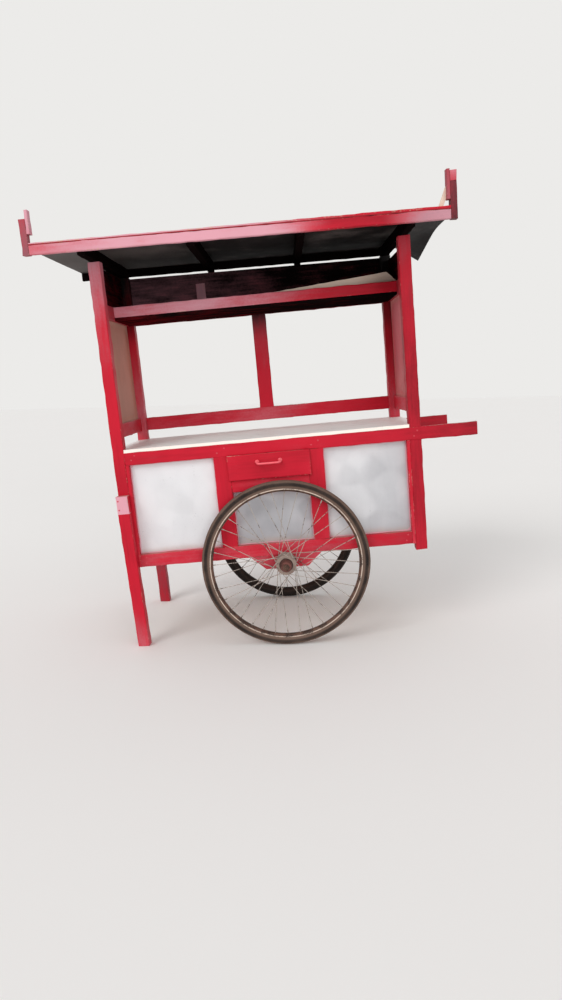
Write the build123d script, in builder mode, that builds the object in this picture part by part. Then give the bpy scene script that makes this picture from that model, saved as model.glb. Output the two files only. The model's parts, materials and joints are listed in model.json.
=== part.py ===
from build123d import *
from math import cos, pi, radians, sin, tan
import os

# A two-wheeled wooden food cart, parked on its legs. Millimetres, +Z up, floor at Z = 0.
# The carpentry is set out square in the cart's own frame, which leans by park_tilt:
# x runs from the leg end to the handle end, y from the seller's side to the customer's side,
# z up from the underside of the bottom rails.

# Stance
park_tilt = 3.7
wheel_radius = 356.0

# Body frame
body_length = 1292.0
body_depth = 580.0
post_size = 48.0
handle_end_post_drop = 28.0
frame_thickness = 25.0
bottom_rail_height = 54.0
table_frame_height = 495.0
top_rail_height = 53.0
handle_reach = 233.0
post_batten_width = 14.0
arris = 1.5

# Lower cabinet
stile_width = 66.0
left_bay_end = 419.0
middle_bay_width = 329.0
drawer_rail_height = 50.0
drawer_opening_height = 105.0
sheet_thickness = 2.0
sheet_margin = 27.0
sheet_gap = 1.0
floor_thickness = 9.0
floor_height = 22.0
table_thickness = 13.0

# Legs
leg_width = 48.0
leg_thickness = 45.0
leg_top = 318.0

# Drawer
drawer_front_thickness = 13.0
drawer_front_overlap = 8.0
drawer_front_lap = 2.0
drawer_front_rise = 1.0
drawer_front_gap = 0.3
drawer_side_clearance = 5.0
drawer_wall = 10.0
drawer_box_headroom = 21.0
drawer_box_depth = 380.0
drawer_box_floor = 5.0
drawer_lift = 0.3
runner_width = 24.0
runner_height = 30.0
pull_length = 96.0
pull_reach = 28.0
pull_droop = 12.0
pull_rod_radius = 5.0
pull_rod_sides = 8
pull_bend_radius = 14.0
pull_foot_radius = 9.0
pull_foot_sides = 12
pull_foot_thickness = 5.0
pull_drop = 34.0

# Display storey
gap_over_table = 44.0
window_rail_height = 60.0
window_height = 444.0
window_stile_left = 614.0
pane_thickness = 4.0
pane_setback = 9.0
shelf_thickness = 14.0
shelf_setback = 250.0
shelf_beam_height = 46.0
shelf_rail_height = 60.0
upper_storey_height = 154.0
upper_panel_thickness = 3.0
upper_panel_setback = 9.0
upper_panel_gap = 3.0
upper_panel_gap_right = 22.0
back_batten_left = 361.0
back_batten_width = 44.0
back_batten_height = 108.0
back_batten_thickness = 9.0
loose_batten_length = 634.0
loose_batten_height = 44.0
loose_batten_thickness = 22.0
loose_batten_gap = 15.0
loose_batten_bearing = 10.0
loose_batten_end_cut = 44.0

# Roof: it sags towards the handle end and rises towards the customer's side
roof_sag = 0.55
roof_rise = 0.9
roof_left_overhang = 187.0
roof_right_overhang = 145.0
roof_front_overhang = 195.0
roof_back_overhang = 40.0
rafter_height = 47.0
rafter_width = 30.0
rafter_count = 4
fascia_thickness = 22.0
fascia_height = 35.0
roof_sheet_thickness = 4.0
edge_strip_height_left = 4.0
edge_strip_height_right = 8.0
edge_strip_width = 20.0
edge_strip_setback = 2.0
bent_corner_on_side = 520.0
bent_corner_on_back = 137.0
bent_corner_angle = 34.0
bent_corner_radius = 86.0
corner_strip_width = 25.0
corner_strip_depth = 32.0
corner_strip_height_left = 140.0
corner_strip_height_right = 144.0
cleat_width = 12.0
cleat_height_left = 85.0
cleat_height_right = 104.0
cleat_top_left = 172.0
cleat_top_right = 186.0
corner_block_height = 37.0
stick_width = 18.0
stick_depth = 8.0
stick_foot_gap = 15.0
stick_lean = 22.5

# Running gear
axle_place = 684.5
axle_height = -25.5
axle_radius = 10.0
axle_running_clearance = 0.05
axle_board_thickness = 38.0
axle_board_top_length = 305.0
axle_board_bottom_length = 178.0
axle_board_drop = 57.0
axle_board_centre = 687.0
wheel_standoff = 50.0
hub_outer_length = 62.0
hub_inner_length = 36.0
hub_barrel_radius = 19.0
hub_flange_radius = 43.0
hub_flange_thickness = 4.0
hub_flange_offset = 26.0
hub_cap_radius = 24.0
hub_sides = 24
hub_cap_length = 24.0
collar_radius = 17.0
collar_clearance = 0.5
nut_radius = 15.0
nut_length = 9.0
tyre_width = 38.0
tyre_depth = 34.0
tyre_crown_faces = 6
tyre_flank_angle = 130.0
tyre_seat_width = 29.0
rim_depth = 13.0
rim_width = 33.0
rim_well_depth = 8.0
rim_well_width = 16.0
spoke_count = 36
spoke_radius = 1.3
spoke_sides = 4
spoke_circle_radius = 38.0
spoke_head_offset = 4.6
spoke_seat_gap = 0.3
spoke_dish = 3.0
spoke_cross_angle = 60.0

# The cart's own plane in the world, with the wheels and legs on the floor
wheel_rest_height = (wheel_radius - axle_height * cos(radians(park_tilt))
                     - axle_place * sin(radians(park_tilt)))
top_rail_bottom = table_frame_height - top_rail_height
drawer_rail_top = top_rail_bottom - drawer_opening_height
window_rail_bottom = table_frame_height + table_thickness + gap_over_table
shelf_underside = window_rail_bottom + window_rail_height + window_height
post_top = shelf_underside + shelf_rail_height + upper_storey_height
roof_left = -roof_left_overhang
roof_right = body_length + roof_right_overhang
roof_underside = post_top
handle_end = body_length + handle_reach
near = -body_depth / 2
far = body_depth / 2
roof_front = near - roof_front_overhang
roof_back = far + roof_back_overhang
wheel_plane = far + wheel_standoff
axle_end = wheel_plane + hub_outer_length + collar_clearance + nut_length


def roof_over(frame):
    """The roof's leaning frame over a cart frame: both give the near left post's top the same figures."""
    post_head = Vector(post_size / 2, near + post_size / 2, post_top)
    lean = frame.rotated((roof_rise, roof_sag, 0))
    reach = lean.x_dir * post_head.X + lean.y_dir * post_head.Y + lean.z_dir * post_head.Z
    return Plane(origin=frame.from_local_coords(post_head) - reach, x_dir=lean.x_dir, z_dir=lean.z_dir)


# The cart's frame first with its corner over the world's origin, then with the whole cart centred there
uncentred = Plane(
    origin=(0, 0, wheel_rest_height),
    x_dir=(cos(radians(park_tilt)), 0, sin(radians(park_tilt))),
    z_dir=(-sin(radians(park_tilt)), 0, cos(radians(park_tilt))),
)
upright_heads = [
    roof_over(uncentred).from_local_coords(Vector(x, roof_front, roof_underside + height))
    for x, height in (
        (roof_left, corner_strip_height_left),
        (roof_left + corner_strip_width, cleat_top_left),
        (roof_right - corner_strip_width - cleat_width, cleat_top_right),
    )
]
leftmost = min(head.X for head in upright_heads)
foremost = min(head.Y for head in upright_heads)
rightmost = uncentred.from_local_coords(Vector(handle_end, 0, top_rail_bottom)).X
cart = Plane(
    origin=(-(leftmost + rightmost) / 2, -(foremost + axle_end) / 2, wheel_rest_height),
    x_dir=uncentred.x_dir,
    z_dir=uncentred.z_dir,
)
roof = roof_over(cart)
depth_axis = Axis((0, 0, 0), cart.y_dir)


def timber(x, y, z, frame=cart, ease=arris):
    """A board between the given limits of the frame it is built in, with its four long edges eased."""
    size = (x[1] - x[0], y[1] - y[0], z[1] - z[0])
    with Locations(((x[0] + x[1]) / 2, (y[0] + y[1]) / 2, (z[0] + z[1]) / 2)):
        Box(*size)
    grain = (frame.x_dir, frame.y_dir, frame.z_dir)[size.index(max(size))]
    chamfer(edges(Select.LAST).filter_by(Axis((0, 0, 0), grain)), ease)


def sheet(x, y, z):
    """A thin flat panel between the given limits, square on its edges."""
    with Locations(((x[0] + x[1]) / 2, (y[0] + y[1]) / 2, (z[0] + z[1]) / 2)):
        Box(x[1] - x[0], y[1] - y[0], z[1] - z[0])


def cut_out(x, y, z):
    """Material taken away between the given limits."""
    with Locations(((x[0] + x[1]) / 2, (y[0] + y[1]) / 2, (z[0] + z[1]) / 2)):
        Box(x[1] - x[0], y[1] - y[0], z[1] - z[0], mode=Mode.SUBTRACT)


def save(builder, name):
    """Label a finished piece and write its file."""
    builder.part.label = name
    export_step(builder.part, f"parts/{name}.step")


def in_world(x, y, z, frame=cart):
    """The world position of a point given in the cart's frame, or in the roof's."""
    return frame.from_local_coords(Vector(x, y, z))


def cut_under_roof(gap):
    """Take off what stands higher than the given gap below the roof's underside."""
    split(bisect_by=Plane(in_world(0, 0, roof_underside - gap, roof), z_dir=roof.z_dir), keep=Keep.BOTTOM)


def floor_under(x):
    """Height of the floor in the cart's frame, under the point x along it."""
    return -(wheel_rest_height + x * sin(radians(park_tilt))) / cos(radians(park_tilt))


os.makedirs("parts", exist_ok=True)

# Limits that several pieces share, in the cart's frame
post_left = (0, post_size)
post_right = (body_length - post_size, body_length)
post_near = (near, near + post_size)
post_far = (far - post_size, far)
face_near = (near, near + frame_thickness)
face_far = (far - frame_thickness, far)
face_left = (0, frame_thickness)
face_right = (body_length - frame_thickness, body_length)
between_posts_x = (post_left[1], post_right[0])
between_posts_y = (post_near[1], post_far[0])
between_battens = (post_left[1] + post_batten_width, post_right[0] - post_batten_width)
bottom_rail = (0, bottom_rail_height)
top_rail = (top_rail_bottom, table_frame_height)
stile_a = (left_bay_end, left_bay_end + stile_width)
middle_bay = (stile_a[1], stile_a[1] + middle_bay_width)
stile_b = (middle_bay[1], middle_bay[1] + stile_width)
drawer_rail = (drawer_rail_top - drawer_rail_height, drawer_rail_top)
table = (table_frame_height, table_frame_height + table_thickness)
window_rail = (window_rail_bottom, window_rail_bottom + window_rail_height)
shelf_rail = (shelf_underside, shelf_underside + shelf_rail_height)
shelf_top = shelf_underside + shelf_thickness

# Corner posts: the handle-end pair stand lower and are notched for the handles that lap them
post_table = (
    # name, x limits, y limits, foot height, y limits of the handle's notch
    ("post_near_left", post_left, post_near, 0, None),
    ("post_far_left", post_left, post_far, 0, None),
    ("post_near_right", post_right, post_near, -handle_end_post_drop, face_near),
    ("post_far_right", post_right, post_far, -handle_end_post_drop, face_far),
)
for name, x, y, foot, notch in post_table:
    with BuildPart(cart) as post:
        timber(x, y, (foot, post_top + rafter_height))
        cut_under_roof(0)
        if notch:
            cut_out(x, notch, top_rail)
    save(post, name)

# Legs: raked timbers on the outside of the leg-end posts, cut level with the floor
leg_table = (
    # name, inner face y, direction outwards, top's left edge, foot's left edge
    ("leg_near", near, -1, 0.0, 16.0),
    ("leg_far", far, 1, -2.0, 2.0),
)
for name, face, outwards, top_x, foot_x in leg_table:
    with BuildPart() as leg:
        with BuildSketch(Plane(in_world(0, face, 0), x_dir=cart.x_dir, z_dir=-cart.y_dir)):
            with BuildLine():
                Polyline(
                    (top_x, leg_top),
                    (foot_x, floor_under(foot_x)),
                    (foot_x + leg_width, floor_under(foot_x + leg_width)),
                    (top_x + leg_width, leg_top),
                    close=True,
                )
            make_face()
        extrude(amount=-outwards * leg_thickness)
        chamfer(edges().filter_by(depth_axis, reverse=True).group_by(SortBy.LENGTH)[-1], arris)
    save(leg, name)

# Long rails of the two sides; the top ones run on as the handles
side_table = (
    # side, y limits of the face frame
    ("near", face_near),
    ("far", face_far),
)
for side, y in side_table:
    with BuildPart(cart) as handle_rail:
        timber((post_left[1], handle_end), y, top_rail)
    save(handle_rail, f"top_rail_{side}")
    with BuildPart(cart) as rail:
        timber(between_battens, y, bottom_rail)
    save(rail, f"bottom_rail_{side}")
    stile_height = (bottom_rail[1], top_rail[0])
    with BuildPart(cart) as stiles:
        timber(stile_a, y, stile_height)
        timber(stile_b, y, stile_height)
    save(stiles, f"stiles_{side}")
    with BuildPart(cart) as battens:
        timber((post_left[1], between_battens[0]), y, (0, top_rail[0]))
        timber((between_battens[1], post_right[0]), y, (0, top_rail[0]))
    save(battens, f"post_battens_{side}")

with BuildPart(cart) as rail:
    timber(middle_bay, face_near, drawer_rail)
save(rail, "drawer_rail")

# End rails, low and at the table, between the posts of each end
with BuildPart(cart) as end_rails:
    for x in (face_left, face_right):
        for z in (bottom_rail, top_rail):
            timber(x, between_posts_y, z)
save(end_rails, "end_rails")

# Sheet panels nailed behind the face frames
stile_a_middle = (stile_a[0] + stile_a[1]) / 2
stile_b_middle = (stile_b[0] + stile_b[1]) / 2
bays = (
    (post_left[1] + sheet_gap, stile_a_middle - sheet_gap),
    (stile_a_middle + sheet_gap, stile_b_middle - sheet_gap),
    (stile_b_middle + sheet_gap, post_right[0] - sheet_gap),
)
panel_foot = sheet_margin
panel_head = table_frame_height - sheet_margin
under_drawer = drawer_rail[0] + sheet_margin
behind_near = (face_near[1], face_near[1] + sheet_thickness)
behind_far = (face_far[0] - sheet_thickness, face_far[0])
for name, bay, head in zip(("left", "middle", "right"), bays, (panel_head, under_drawer, panel_head)):
    with BuildPart(cart) as panel:
        sheet(bay, behind_near, (panel_foot, head))
    save(panel, f"panel_near_{name}")
with BuildPart(cart) as panels:
    for bay in bays:
        sheet(bay, behind_far, (panel_foot, panel_head))
save(panels, "panels_far")
with BuildPart(cart) as panels:
    for x in (
        (face_left[1], face_left[1] + sheet_thickness),
        (face_right[0] - sheet_thickness, face_right[0]),
    ):
        sheet(x, between_posts_y, (panel_foot, panel_head))
save(panels, "panels_end")

# Cabinet floor, notched round the posts
inside_x = (face_left[1] + sheet_thickness, face_right[0] - sheet_thickness)
inside_y = (behind_near[1], behind_far[0])
with BuildPart(cart) as floor:
    floor_z = (floor_height - floor_thickness, floor_height)
    sheet(inside_x, inside_y, floor_z)
    for x in (post_left, post_right):
        for y in (post_near, post_far):
            cut_out(x, y, floor_z)
save(floor, "cabinet_floor")

# Table top, notched round the four posts
with BuildPart(cart) as tabletop:
    sheet((0, body_length), (near, far), table)
    for x in (post_left, post_right):
        for y in (post_near, post_far):
            cut_out(x, y, table)
save(tabletop, "tabletop")

# Drawer runners, from the drawer rail's back to the far stiles
runner_z = (drawer_rail_top - runner_height, drawer_rail_top)
drawer_box_x = (middle_bay[0] + drawer_side_clearance, middle_bay[1] - drawer_side_clearance)
with BuildPart(cart) as runners:
    runner_y = (behind_near[1], behind_far[0])
    timber((middle_bay[0], middle_bay[0] + runner_width), runner_y, runner_z)
    timber((middle_bay[1] - runner_width, middle_bay[1]), runner_y, runner_z)
save(runners, "drawer_runners")

# Drawer: a box on the runners with a proud front and a bow pull
box_y = (near, near + drawer_box_depth)
box_z = (drawer_rail_top + drawer_lift, top_rail[0] - drawer_box_headroom + drawer_lift)
with BuildPart(cart) as drawer_box:
    sheet(drawer_box_x, box_y, box_z)
    cut_out(
        (drawer_box_x[0] + drawer_wall, drawer_box_x[1] - drawer_wall),
        (box_y[0] + drawer_wall, box_y[1] - drawer_wall),
        (box_z[0] + drawer_box_floor, box_z[1]),
    )
save(drawer_box, "drawer_box")
front_x = (middle_bay[0] - drawer_front_overlap, middle_bay[1] + drawer_front_overlap)
front_y = (near - drawer_front_gap - drawer_front_thickness, near - drawer_front_gap)
front_z = (drawer_rail_top + drawer_front_rise, top_rail[0] + drawer_front_lap)
with BuildPart(cart) as drawer_front:
    timber(front_x, front_y, front_z)
save(drawer_front, "drawer_front")

# Bow pull: two foot plates and a bent rod that droops between them
pull_x = (front_x[0] + front_x[1]) / 2
pull_left = pull_x - pull_length / 2
pull_right = pull_x + pull_length / 2
pull_face = front_y[0]
pull_height = front_z[1] - pull_drop
rod_start = pull_face - pull_foot_thickness / 2
rod_plane = Plane(
    in_world(0, rod_start, pull_height),
    x_dir=cart.x_dir,
    z_dir=cart.z_dir.rotate(Axis((0, 0, 0), cart.x_dir), pull_droop),
)
with BuildPart() as pull:
    with BuildSketch(Plane(in_world(0, pull_face, pull_height), x_dir=cart.x_dir, z_dir=-cart.y_dir)):
        with Locations((pull_left, 0), (pull_right, 0)):
            RegularPolygon(pull_foot_radius, pull_foot_sides)
    extrude(amount=pull_foot_thickness)
    with BuildLine(rod_plane) as bow:
        FilletPolyline(
            (pull_left, 0),
            (pull_left, -pull_reach),
            (pull_right, -pull_reach),
            (pull_right, 0),
            radius=pull_bend_radius,
        )
    with BuildSketch(Plane(bow.line @ 0, z_dir=bow.line % 0)):
        RegularPolygon(pull_rod_radius, pull_rod_sides)
    sweep(path=bow.wires()[0])
save(pull, "drawer_pull")

# Window frame of the customer's side and the rails of the two ends
with BuildPart(cart) as rail:
    timber(between_posts_x, face_far, window_rail)
save(rail, "window_rail_far")
with BuildPart(cart) as stile:
    timber((window_stile_left, window_stile_left + stile_width), face_far, (window_rail[1], shelf_underside))
save(stile, "window_stile_far")
with BuildPart(cart) as head:
    timber(between_posts_x, face_far, shelf_rail)
save(head, "window_head_far")
for name, z in (("window_rails_end", window_rail), ("shelf_rails_end", shelf_rail)):
    with BuildPart(cart) as rails:
        timber(face_left, between_posts_y, z)
        timber(face_right, between_posts_y, z)
    save(rails, name)

# End panes
pane_left = (pane_setback, pane_setback + pane_thickness)
pane_right = (body_length - pane_left[1], body_length - pane_left[0])
for name, x in (("pane_left", pane_left), ("pane_right", pane_right)):
    with BuildPart(cart) as pane:
        sheet(x, between_posts_y, (window_rail[1], shelf_underside))
    save(pane, name)

# Shelf: a board between the end rails with a beam along its front edge
shelf_x = (face_left[1], face_right[0])
shelf_y = (near + shelf_setback, face_far[0])
with BuildPart(cart) as shelf:
    sheet(shelf_x, shelf_y, (shelf_underside, shelf_top))
    for x in (post_left, post_right):
        cut_out(x, post_far, (shelf_underside, shelf_top))
save(shelf, "shelf_board")
with BuildPart(cart) as beam:
    timber(shelf_x, (shelf_y[0], shelf_y[0] + frame_thickness), (shelf_top, shelf_top + shelf_beam_height))
save(beam, "shelf_beam")

# Loose batten on edge behind the beam, its far end up on the end rail and cut askew
batten_y = shelf_y[0] + frame_thickness + loose_batten_gap
batten_end = face_right[0] + loose_batten_bearing
batten_start = batten_end - loose_batten_length
batten_slope = (shelf_rail[1] - shelf_top) / (face_right[0] - batten_start)
batten_rise = batten_slope * (batten_end - batten_start)
with BuildPart() as loose:
    with BuildSketch(Plane(in_world(0, batten_y, 0), x_dir=cart.x_dir, z_dir=-cart.y_dir)):
        with BuildLine():
            Polyline(
                (batten_start, shelf_top),
                (batten_end, shelf_top + batten_rise),
                (batten_end - loose_batten_end_cut, shelf_top + batten_rise + loose_batten_height),
                (batten_start, shelf_top + loose_batten_height),
                close=True,
            )
        make_face()
    extrude(amount=-loose_batten_thickness)
save(loose, "loose_batten")

# Closed upper storey: thin panels standing on the shelf rails and cut along the roof
upper_panel_z = (shelf_rail[1], post_top + rafter_height)
upper_panel_depth = (upper_panel_setback, upper_panel_setback + upper_panel_thickness)
with BuildPart(cart) as panel:
    sheet(between_posts_x, (far - upper_panel_depth[1], far - upper_panel_depth[0]), upper_panel_z)
    cut_under_roof(upper_panel_gap)
save(panel, "upper_panel_far")
upper_panel_right = (body_length - upper_panel_depth[1], body_length - upper_panel_depth[0])
with BuildPart(cart) as panels:
    sheet(upper_panel_right, between_posts_y, upper_panel_z)
    cut_under_roof(upper_panel_gap_right)
    sheet(upper_panel_depth, between_posts_y, upper_panel_z)
    cut_under_roof(upper_panel_gap)
save(panels, "upper_panels_end")
with BuildPart(cart) as batten:
    timber(
        (back_batten_left, back_batten_left + back_batten_width),
        (far - upper_panel_depth[1] - back_batten_thickness, far - upper_panel_depth[1]),
        (shelf_rail[1], shelf_rail[1] + back_batten_height),
    )
save(batten, "back_batten")

# Roof frame: rafters between a front and a back fascia
strip_left = (roof_left, roof_left + corner_strip_width)
strip_right = (roof_right - corner_strip_width, roof_right)
strip_y = (roof_front, roof_front + corner_strip_depth)
sheet_under = roof_underside + rafter_height
sheet_top = sheet_under + roof_sheet_thickness
fascia_front = (roof_front, roof_front + fascia_thickness)
fascia_back = (roof_back - fascia_thickness, roof_back)
fascia_z = (sheet_under - fascia_height, sheet_under)
with BuildPart(roof) as fascia:
    timber((strip_left[1], strip_right[0]), fascia_front, fascia_z, roof)
save(fascia, "fascia_front")
with BuildPart(roof) as fascia:
    bend_start = roof_right - bent_corner_on_back
    timber((roof_left, bend_start), fascia_back, fascia_z, roof)
save(fascia, "fascia_back")
with BuildPart(roof) as rafters:
    rafter_step = (body_length - post_size) / (rafter_count - 1)
    for number in range(rafter_count):
        middle = post_size / 2 + number * rafter_step
        timber(
            (middle - rafter_width / 2, middle + rafter_width / 2),
            (fascia_front[1], fascia_back[0]),
            (roof_underside, sheet_under),
            roof,
        )
save(rafters, "rafters")

# Roof sheet: its section across the bend, run along the bend and trimmed to the roof's outline
roof_width = roof_right - roof_left
roof_depth = roof_back - roof_front
bend_turn = radians(bent_corner_angle)
bend_plane = Plane(
    in_world(roof_right, roof_back - bent_corner_on_side, sheet_under, roof),
    x_dir=(roof.x_dir * bent_corner_on_side + roof.y_dir * bent_corner_on_back).normalized(),
    z_dir=(roof.x_dir * bent_corner_on_back - roof.y_dir * bent_corner_on_side).normalized(),
)


def bent(height, angle, past_bend=0):
    """A point of the sheet's section: height above its underside, angle round the bend, run past it."""
    radius = bent_corner_radius + height
    return (
        radius * sin(angle) + past_bend * cos(angle),
        radius * cos(angle) - bent_corner_radius - past_bend * sin(angle),
    )


with BuildPart() as roof_sheet:
    with BuildSketch(bend_plane):
        with BuildLine():
            Line((-roof_width - roof_depth, 0), (0, 0))
            ThreePointArc((0, 0), bent(0, bend_turn / 2), bent(0, bend_turn))
            Polyline(
                bent(0, bend_turn),
                bent(0, bend_turn, bent_corner_on_side),
                bent(roof_sheet_thickness, bend_turn, bent_corner_on_side),
                bent(roof_sheet_thickness, bend_turn),
            )
            ThreePointArc(
                bent(roof_sheet_thickness, bend_turn),
                bent(roof_sheet_thickness, bend_turn / 2),
                bent(roof_sheet_thickness, 0),
            )
            Polyline(
                bent(roof_sheet_thickness, 0),
                (-roof_width - roof_depth, roof_sheet_thickness),
                (-roof_width - roof_depth, 0),
            )
        make_face()
    extrude(amount=roof_width + roof_depth, both=True)
    with BuildSketch(Plane(in_world(0, 0, sheet_under, roof), x_dir=roof.x_dir, z_dir=roof.z_dir)):
        with Locations(((roof_left + roof_right) / 2, (roof_front + roof_back) / 2)):
            Rectangle(roof_width, roof_depth)
        for x in (strip_left, strip_right):
            with Locations(((x[0] + x[1]) / 2, (strip_y[0] + strip_y[1]) / 2)):
                Rectangle(corner_strip_width, corner_strip_depth, mode=Mode.SUBTRACT)
    extrude(amount=roof_depth, both=True, mode=Mode.INTERSECT)
save(roof_sheet, "roof_sheet")

# Tapered lath along the sheet's front edge
with BuildPart() as lath:
    lath_face = in_world(0, roof_front + edge_strip_setback, sheet_top, roof)
    with BuildSketch(Plane(lath_face, x_dir=roof.x_dir, z_dir=-roof.y_dir)):
        with BuildLine():
            Polyline(
                (strip_left[1], 0),
                (strip_right[0], 0),
                (strip_right[0], edge_strip_height_right),
                (strip_left[1], edge_strip_height_left),
                close=True,
            )
        make_face()
    extrude(amount=-edge_strip_width)
save(lath, "roof_edge_strip")

# Broken corner uprights at the seller's side: a strip on each fascia end, a cleat nailed inside it
upright_table = (
    # strip's x limits, cleat's x limits, strip's height, cleat's top and height
    (strip_left, (strip_left[1], strip_left[1] + cleat_width),
     corner_strip_height_left, cleat_top_left, cleat_height_left),
    (strip_right, (strip_right[0] - cleat_width, strip_right[0]),
     corner_strip_height_right, cleat_top_right, cleat_height_right),
)
with BuildPart(roof) as strips:
    for strip_x, cleat_x, strip_height, cleat_rise, cleat_height in upright_table:
        timber(strip_x, strip_y, (fascia_z[0], roof_underside + strip_height), roof)
save(strips, "corner_strips")
with BuildPart(roof) as cleats:
    for strip_x, cleat_x, strip_height, cleat_rise, cleat_height in upright_table:
        timber(cleat_x, strip_y, (roof_underside + cleat_rise - cleat_height, roof_underside + cleat_rise), roof)
save(cleats, "corner_cleats")
with BuildPart(roof) as block:
    block_foot = roof_underside + corner_strip_height_right
    timber(strip_right, strip_y, (block_foot, block_foot + corner_block_height), roof)
save(block, "corner_block")

# Bare stick leaning from the roof sheet against the right-hand cleat
cleat_face = strip_right[0] - cleat_width
with BuildPart() as stick:
    stick_front = in_world(0, strip_y[0] + edge_strip_setback + edge_strip_width, 0, roof)
    with BuildSketch(Plane(stick_front, x_dir=roof.x_dir, z_dir=-roof.y_dir)):
        with BuildLine():
            Polyline(
                (cleat_face - stick_foot_gap - stick_width, sheet_top),
                (cleat_face - stick_foot_gap, sheet_top),
                (cleat_face, sheet_top + stick_foot_gap / tan(radians(stick_lean))),
                (cleat_face, sheet_top + (stick_foot_gap + stick_width) / tan(radians(stick_lean))),
                close=True,
            )
        make_face()
    extrude(amount=-stick_depth)
save(stick, "corner_stick")

# Axle boards under the bottom rails, bored for the axle
axle_centre = in_world(axle_place, 0, axle_height)
with BuildPart() as boards:
    for y in (near, far - axle_board_thickness):
        with BuildSketch(Plane(in_world(axle_board_centre, y, 0), x_dir=cart.x_dir, z_dir=-cart.y_dir)):
            with BuildLine():
                Polyline(
                    (-axle_board_top_length / 2, 0),
                    (-axle_board_bottom_length / 2, -axle_board_drop),
                    (axle_board_bottom_length / 2, -axle_board_drop),
                    (axle_board_top_length / 2, 0),
                    close=True,
                )
            make_face()
            with Locations((axle_place - axle_board_centre, axle_height)):
                Circle(axle_radius + axle_running_clearance, mode=Mode.SUBTRACT)
        extrude(amount=-axle_board_thickness)
save(boards, "axle_boards")

# Axle: a bar through both boards with a collar against each of them
hub_inner_end = wheel_plane - hub_inner_length
with BuildPart() as axle:
    with BuildSketch(Plane(axle_centre, x_dir=(1, 0, 0), z_dir=(0, 0, 1))):
        with BuildLine():
            Polyline(
                (0, -axle_end),
                (axle_radius, -axle_end),
                (axle_radius, -hub_inner_end + collar_clearance),
                (collar_radius, -hub_inner_end + collar_clearance),
                (collar_radius, near),
                (axle_radius, near),
                (axle_radius, far),
                (collar_radius, far),
                (collar_radius, hub_inner_end - collar_clearance),
                (axle_radius, hub_inner_end - collar_clearance),
                (axle_radius, axle_end),
                (0, axle_end),
                close=True,
            )
        make_face()
    revolve(axis=Axis(axle_centre, (0, 1, 0)))
save(axle, "axle")
with BuildPart() as nuts:
    for side in (-1, 1):
        seat = Vector(0, side * (wheel_plane + hub_outer_length + collar_clearance), 0)
        with BuildSketch(Plane(axle_centre + seat, x_dir=(1, 0, 0), z_dir=(0, side, 0))):
            RegularPolygon(nut_radius, 6)
            Circle(axle_radius, mode=Mode.SUBTRACT)
        extrude(amount=nut_length)
save(nuts, "axle_nuts")

# Wheels: tyre, rim, crossed wire spokes and a flanged hub
tyre_seat = wheel_radius - tyre_depth
tyre_round = tyre_depth / 2
tyre_section = [(tyre_seat, tyre_seat_width / 2), (tyre_seat, -tyre_seat_width / 2)]
for face in range(tyre_crown_faces + 1):
    turn = radians(tyre_flank_angle) * (2 * face / tyre_crown_faces - 1)
    tyre_section.append((wheel_radius - tyre_round * (1 - cos(turn)), tyre_width / 2 * sin(turn)))
rim_inner_radius = tyre_seat - rim_depth
bore_radius = axle_radius + axle_running_clearance
hub_cap_start = hub_flange_offset + hub_flange_thickness / 2
hub_table = (
    # radius, start and end along the axle, outwards from the wheel's plane
    (hub_barrel_radius, -hub_inner_length, hub_cap_start),
    (hub_flange_radius, -hub_cap_start, -hub_cap_start + hub_flange_thickness),
    (hub_flange_radius, hub_cap_start - hub_flange_thickness, hub_cap_start),
    (hub_cap_radius, hub_cap_start, hub_cap_start + hub_cap_length),
    (hub_barrel_radius, hub_cap_start + hub_cap_length, hub_outer_length),
)
spoke_table_signs = (1, 1, -1, -1)
for side_name, side in (("near", -1), ("far", 1)):
    hub_centre = axle_centre + Vector(0, side * wheel_plane, 0)
    section = Plane(hub_centre, x_dir=(1, 0, 0), z_dir=(0, 0, side))
    wheel_axis = Axis(hub_centre, (0, 1, 0))
    with BuildPart() as tyre:
        with BuildSketch(section):
            Polygon(*tyre_section, align=None)
        revolve(axis=wheel_axis)
    save(tyre, f"tyre_{side_name}")
    with BuildPart() as rim:
        with BuildSketch(section):
            with BuildLine():
                Polyline(
                    (tyre_seat, -rim_width / 2),
                    (tyre_seat - rim_well_depth, -rim_width / 2),
                    (rim_inner_radius, -rim_well_width / 2),
                    (rim_inner_radius, rim_well_width / 2),
                    (tyre_seat - rim_well_depth, rim_width / 2),
                    (tyre_seat, rim_width / 2),
                    close=True,
                )
            make_face()
        revolve(axis=wheel_axis)
    save(rim, f"rim_{side_name}")
    with BuildPart() as hub:
        for radius, start, end in hub_table:
            hub_disc = Plane(hub_centre + Vector(0, side * start, 0), x_dir=(1, 0, 0), z_dir=(0, side, 0))
            with BuildSketch(hub_disc):
                RegularPolygon(radius, hub_sides)
            extrude(amount=end - start)
        with BuildSketch(hub_disc):
            Circle(bore_radius)
        extrude(amount=2 * hub_outer_length, both=True, mode=Mode.SUBTRACT)
    save(hub, f"hub_{side_name}")
    with BuildPart() as spokes:
        for number in range(spoke_count):
            rim_angle = 2 * pi * number / spoke_count
            hub_angle = rim_angle + spoke_table_signs[number % 4] * radians(spoke_cross_angle)
            flange = hub_flange_offset * (1 if number % 2 else -1)
            lace = spoke_head_offset * spoke_table_signs[number % 4]
            start = hub_centre + Vector(
                spoke_circle_radius * cos(hub_angle), flange + lace, spoke_circle_radius * sin(hub_angle)
            )
            spoke_tip = rim_inner_radius - spoke_seat_gap
            dish = spoke_dish * (1 if number % 2 else -1)
            end = hub_centre + Vector(spoke_tip * cos(rim_angle), dish, spoke_tip * sin(rim_angle))
            with BuildSketch(Plane(start, z_dir=end - start)):
                RegularPolygon(spoke_radius, spoke_sides)
            extrude(amount=(end - start).length)
    save(spokes, f"spokes_{side_name}")
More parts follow.
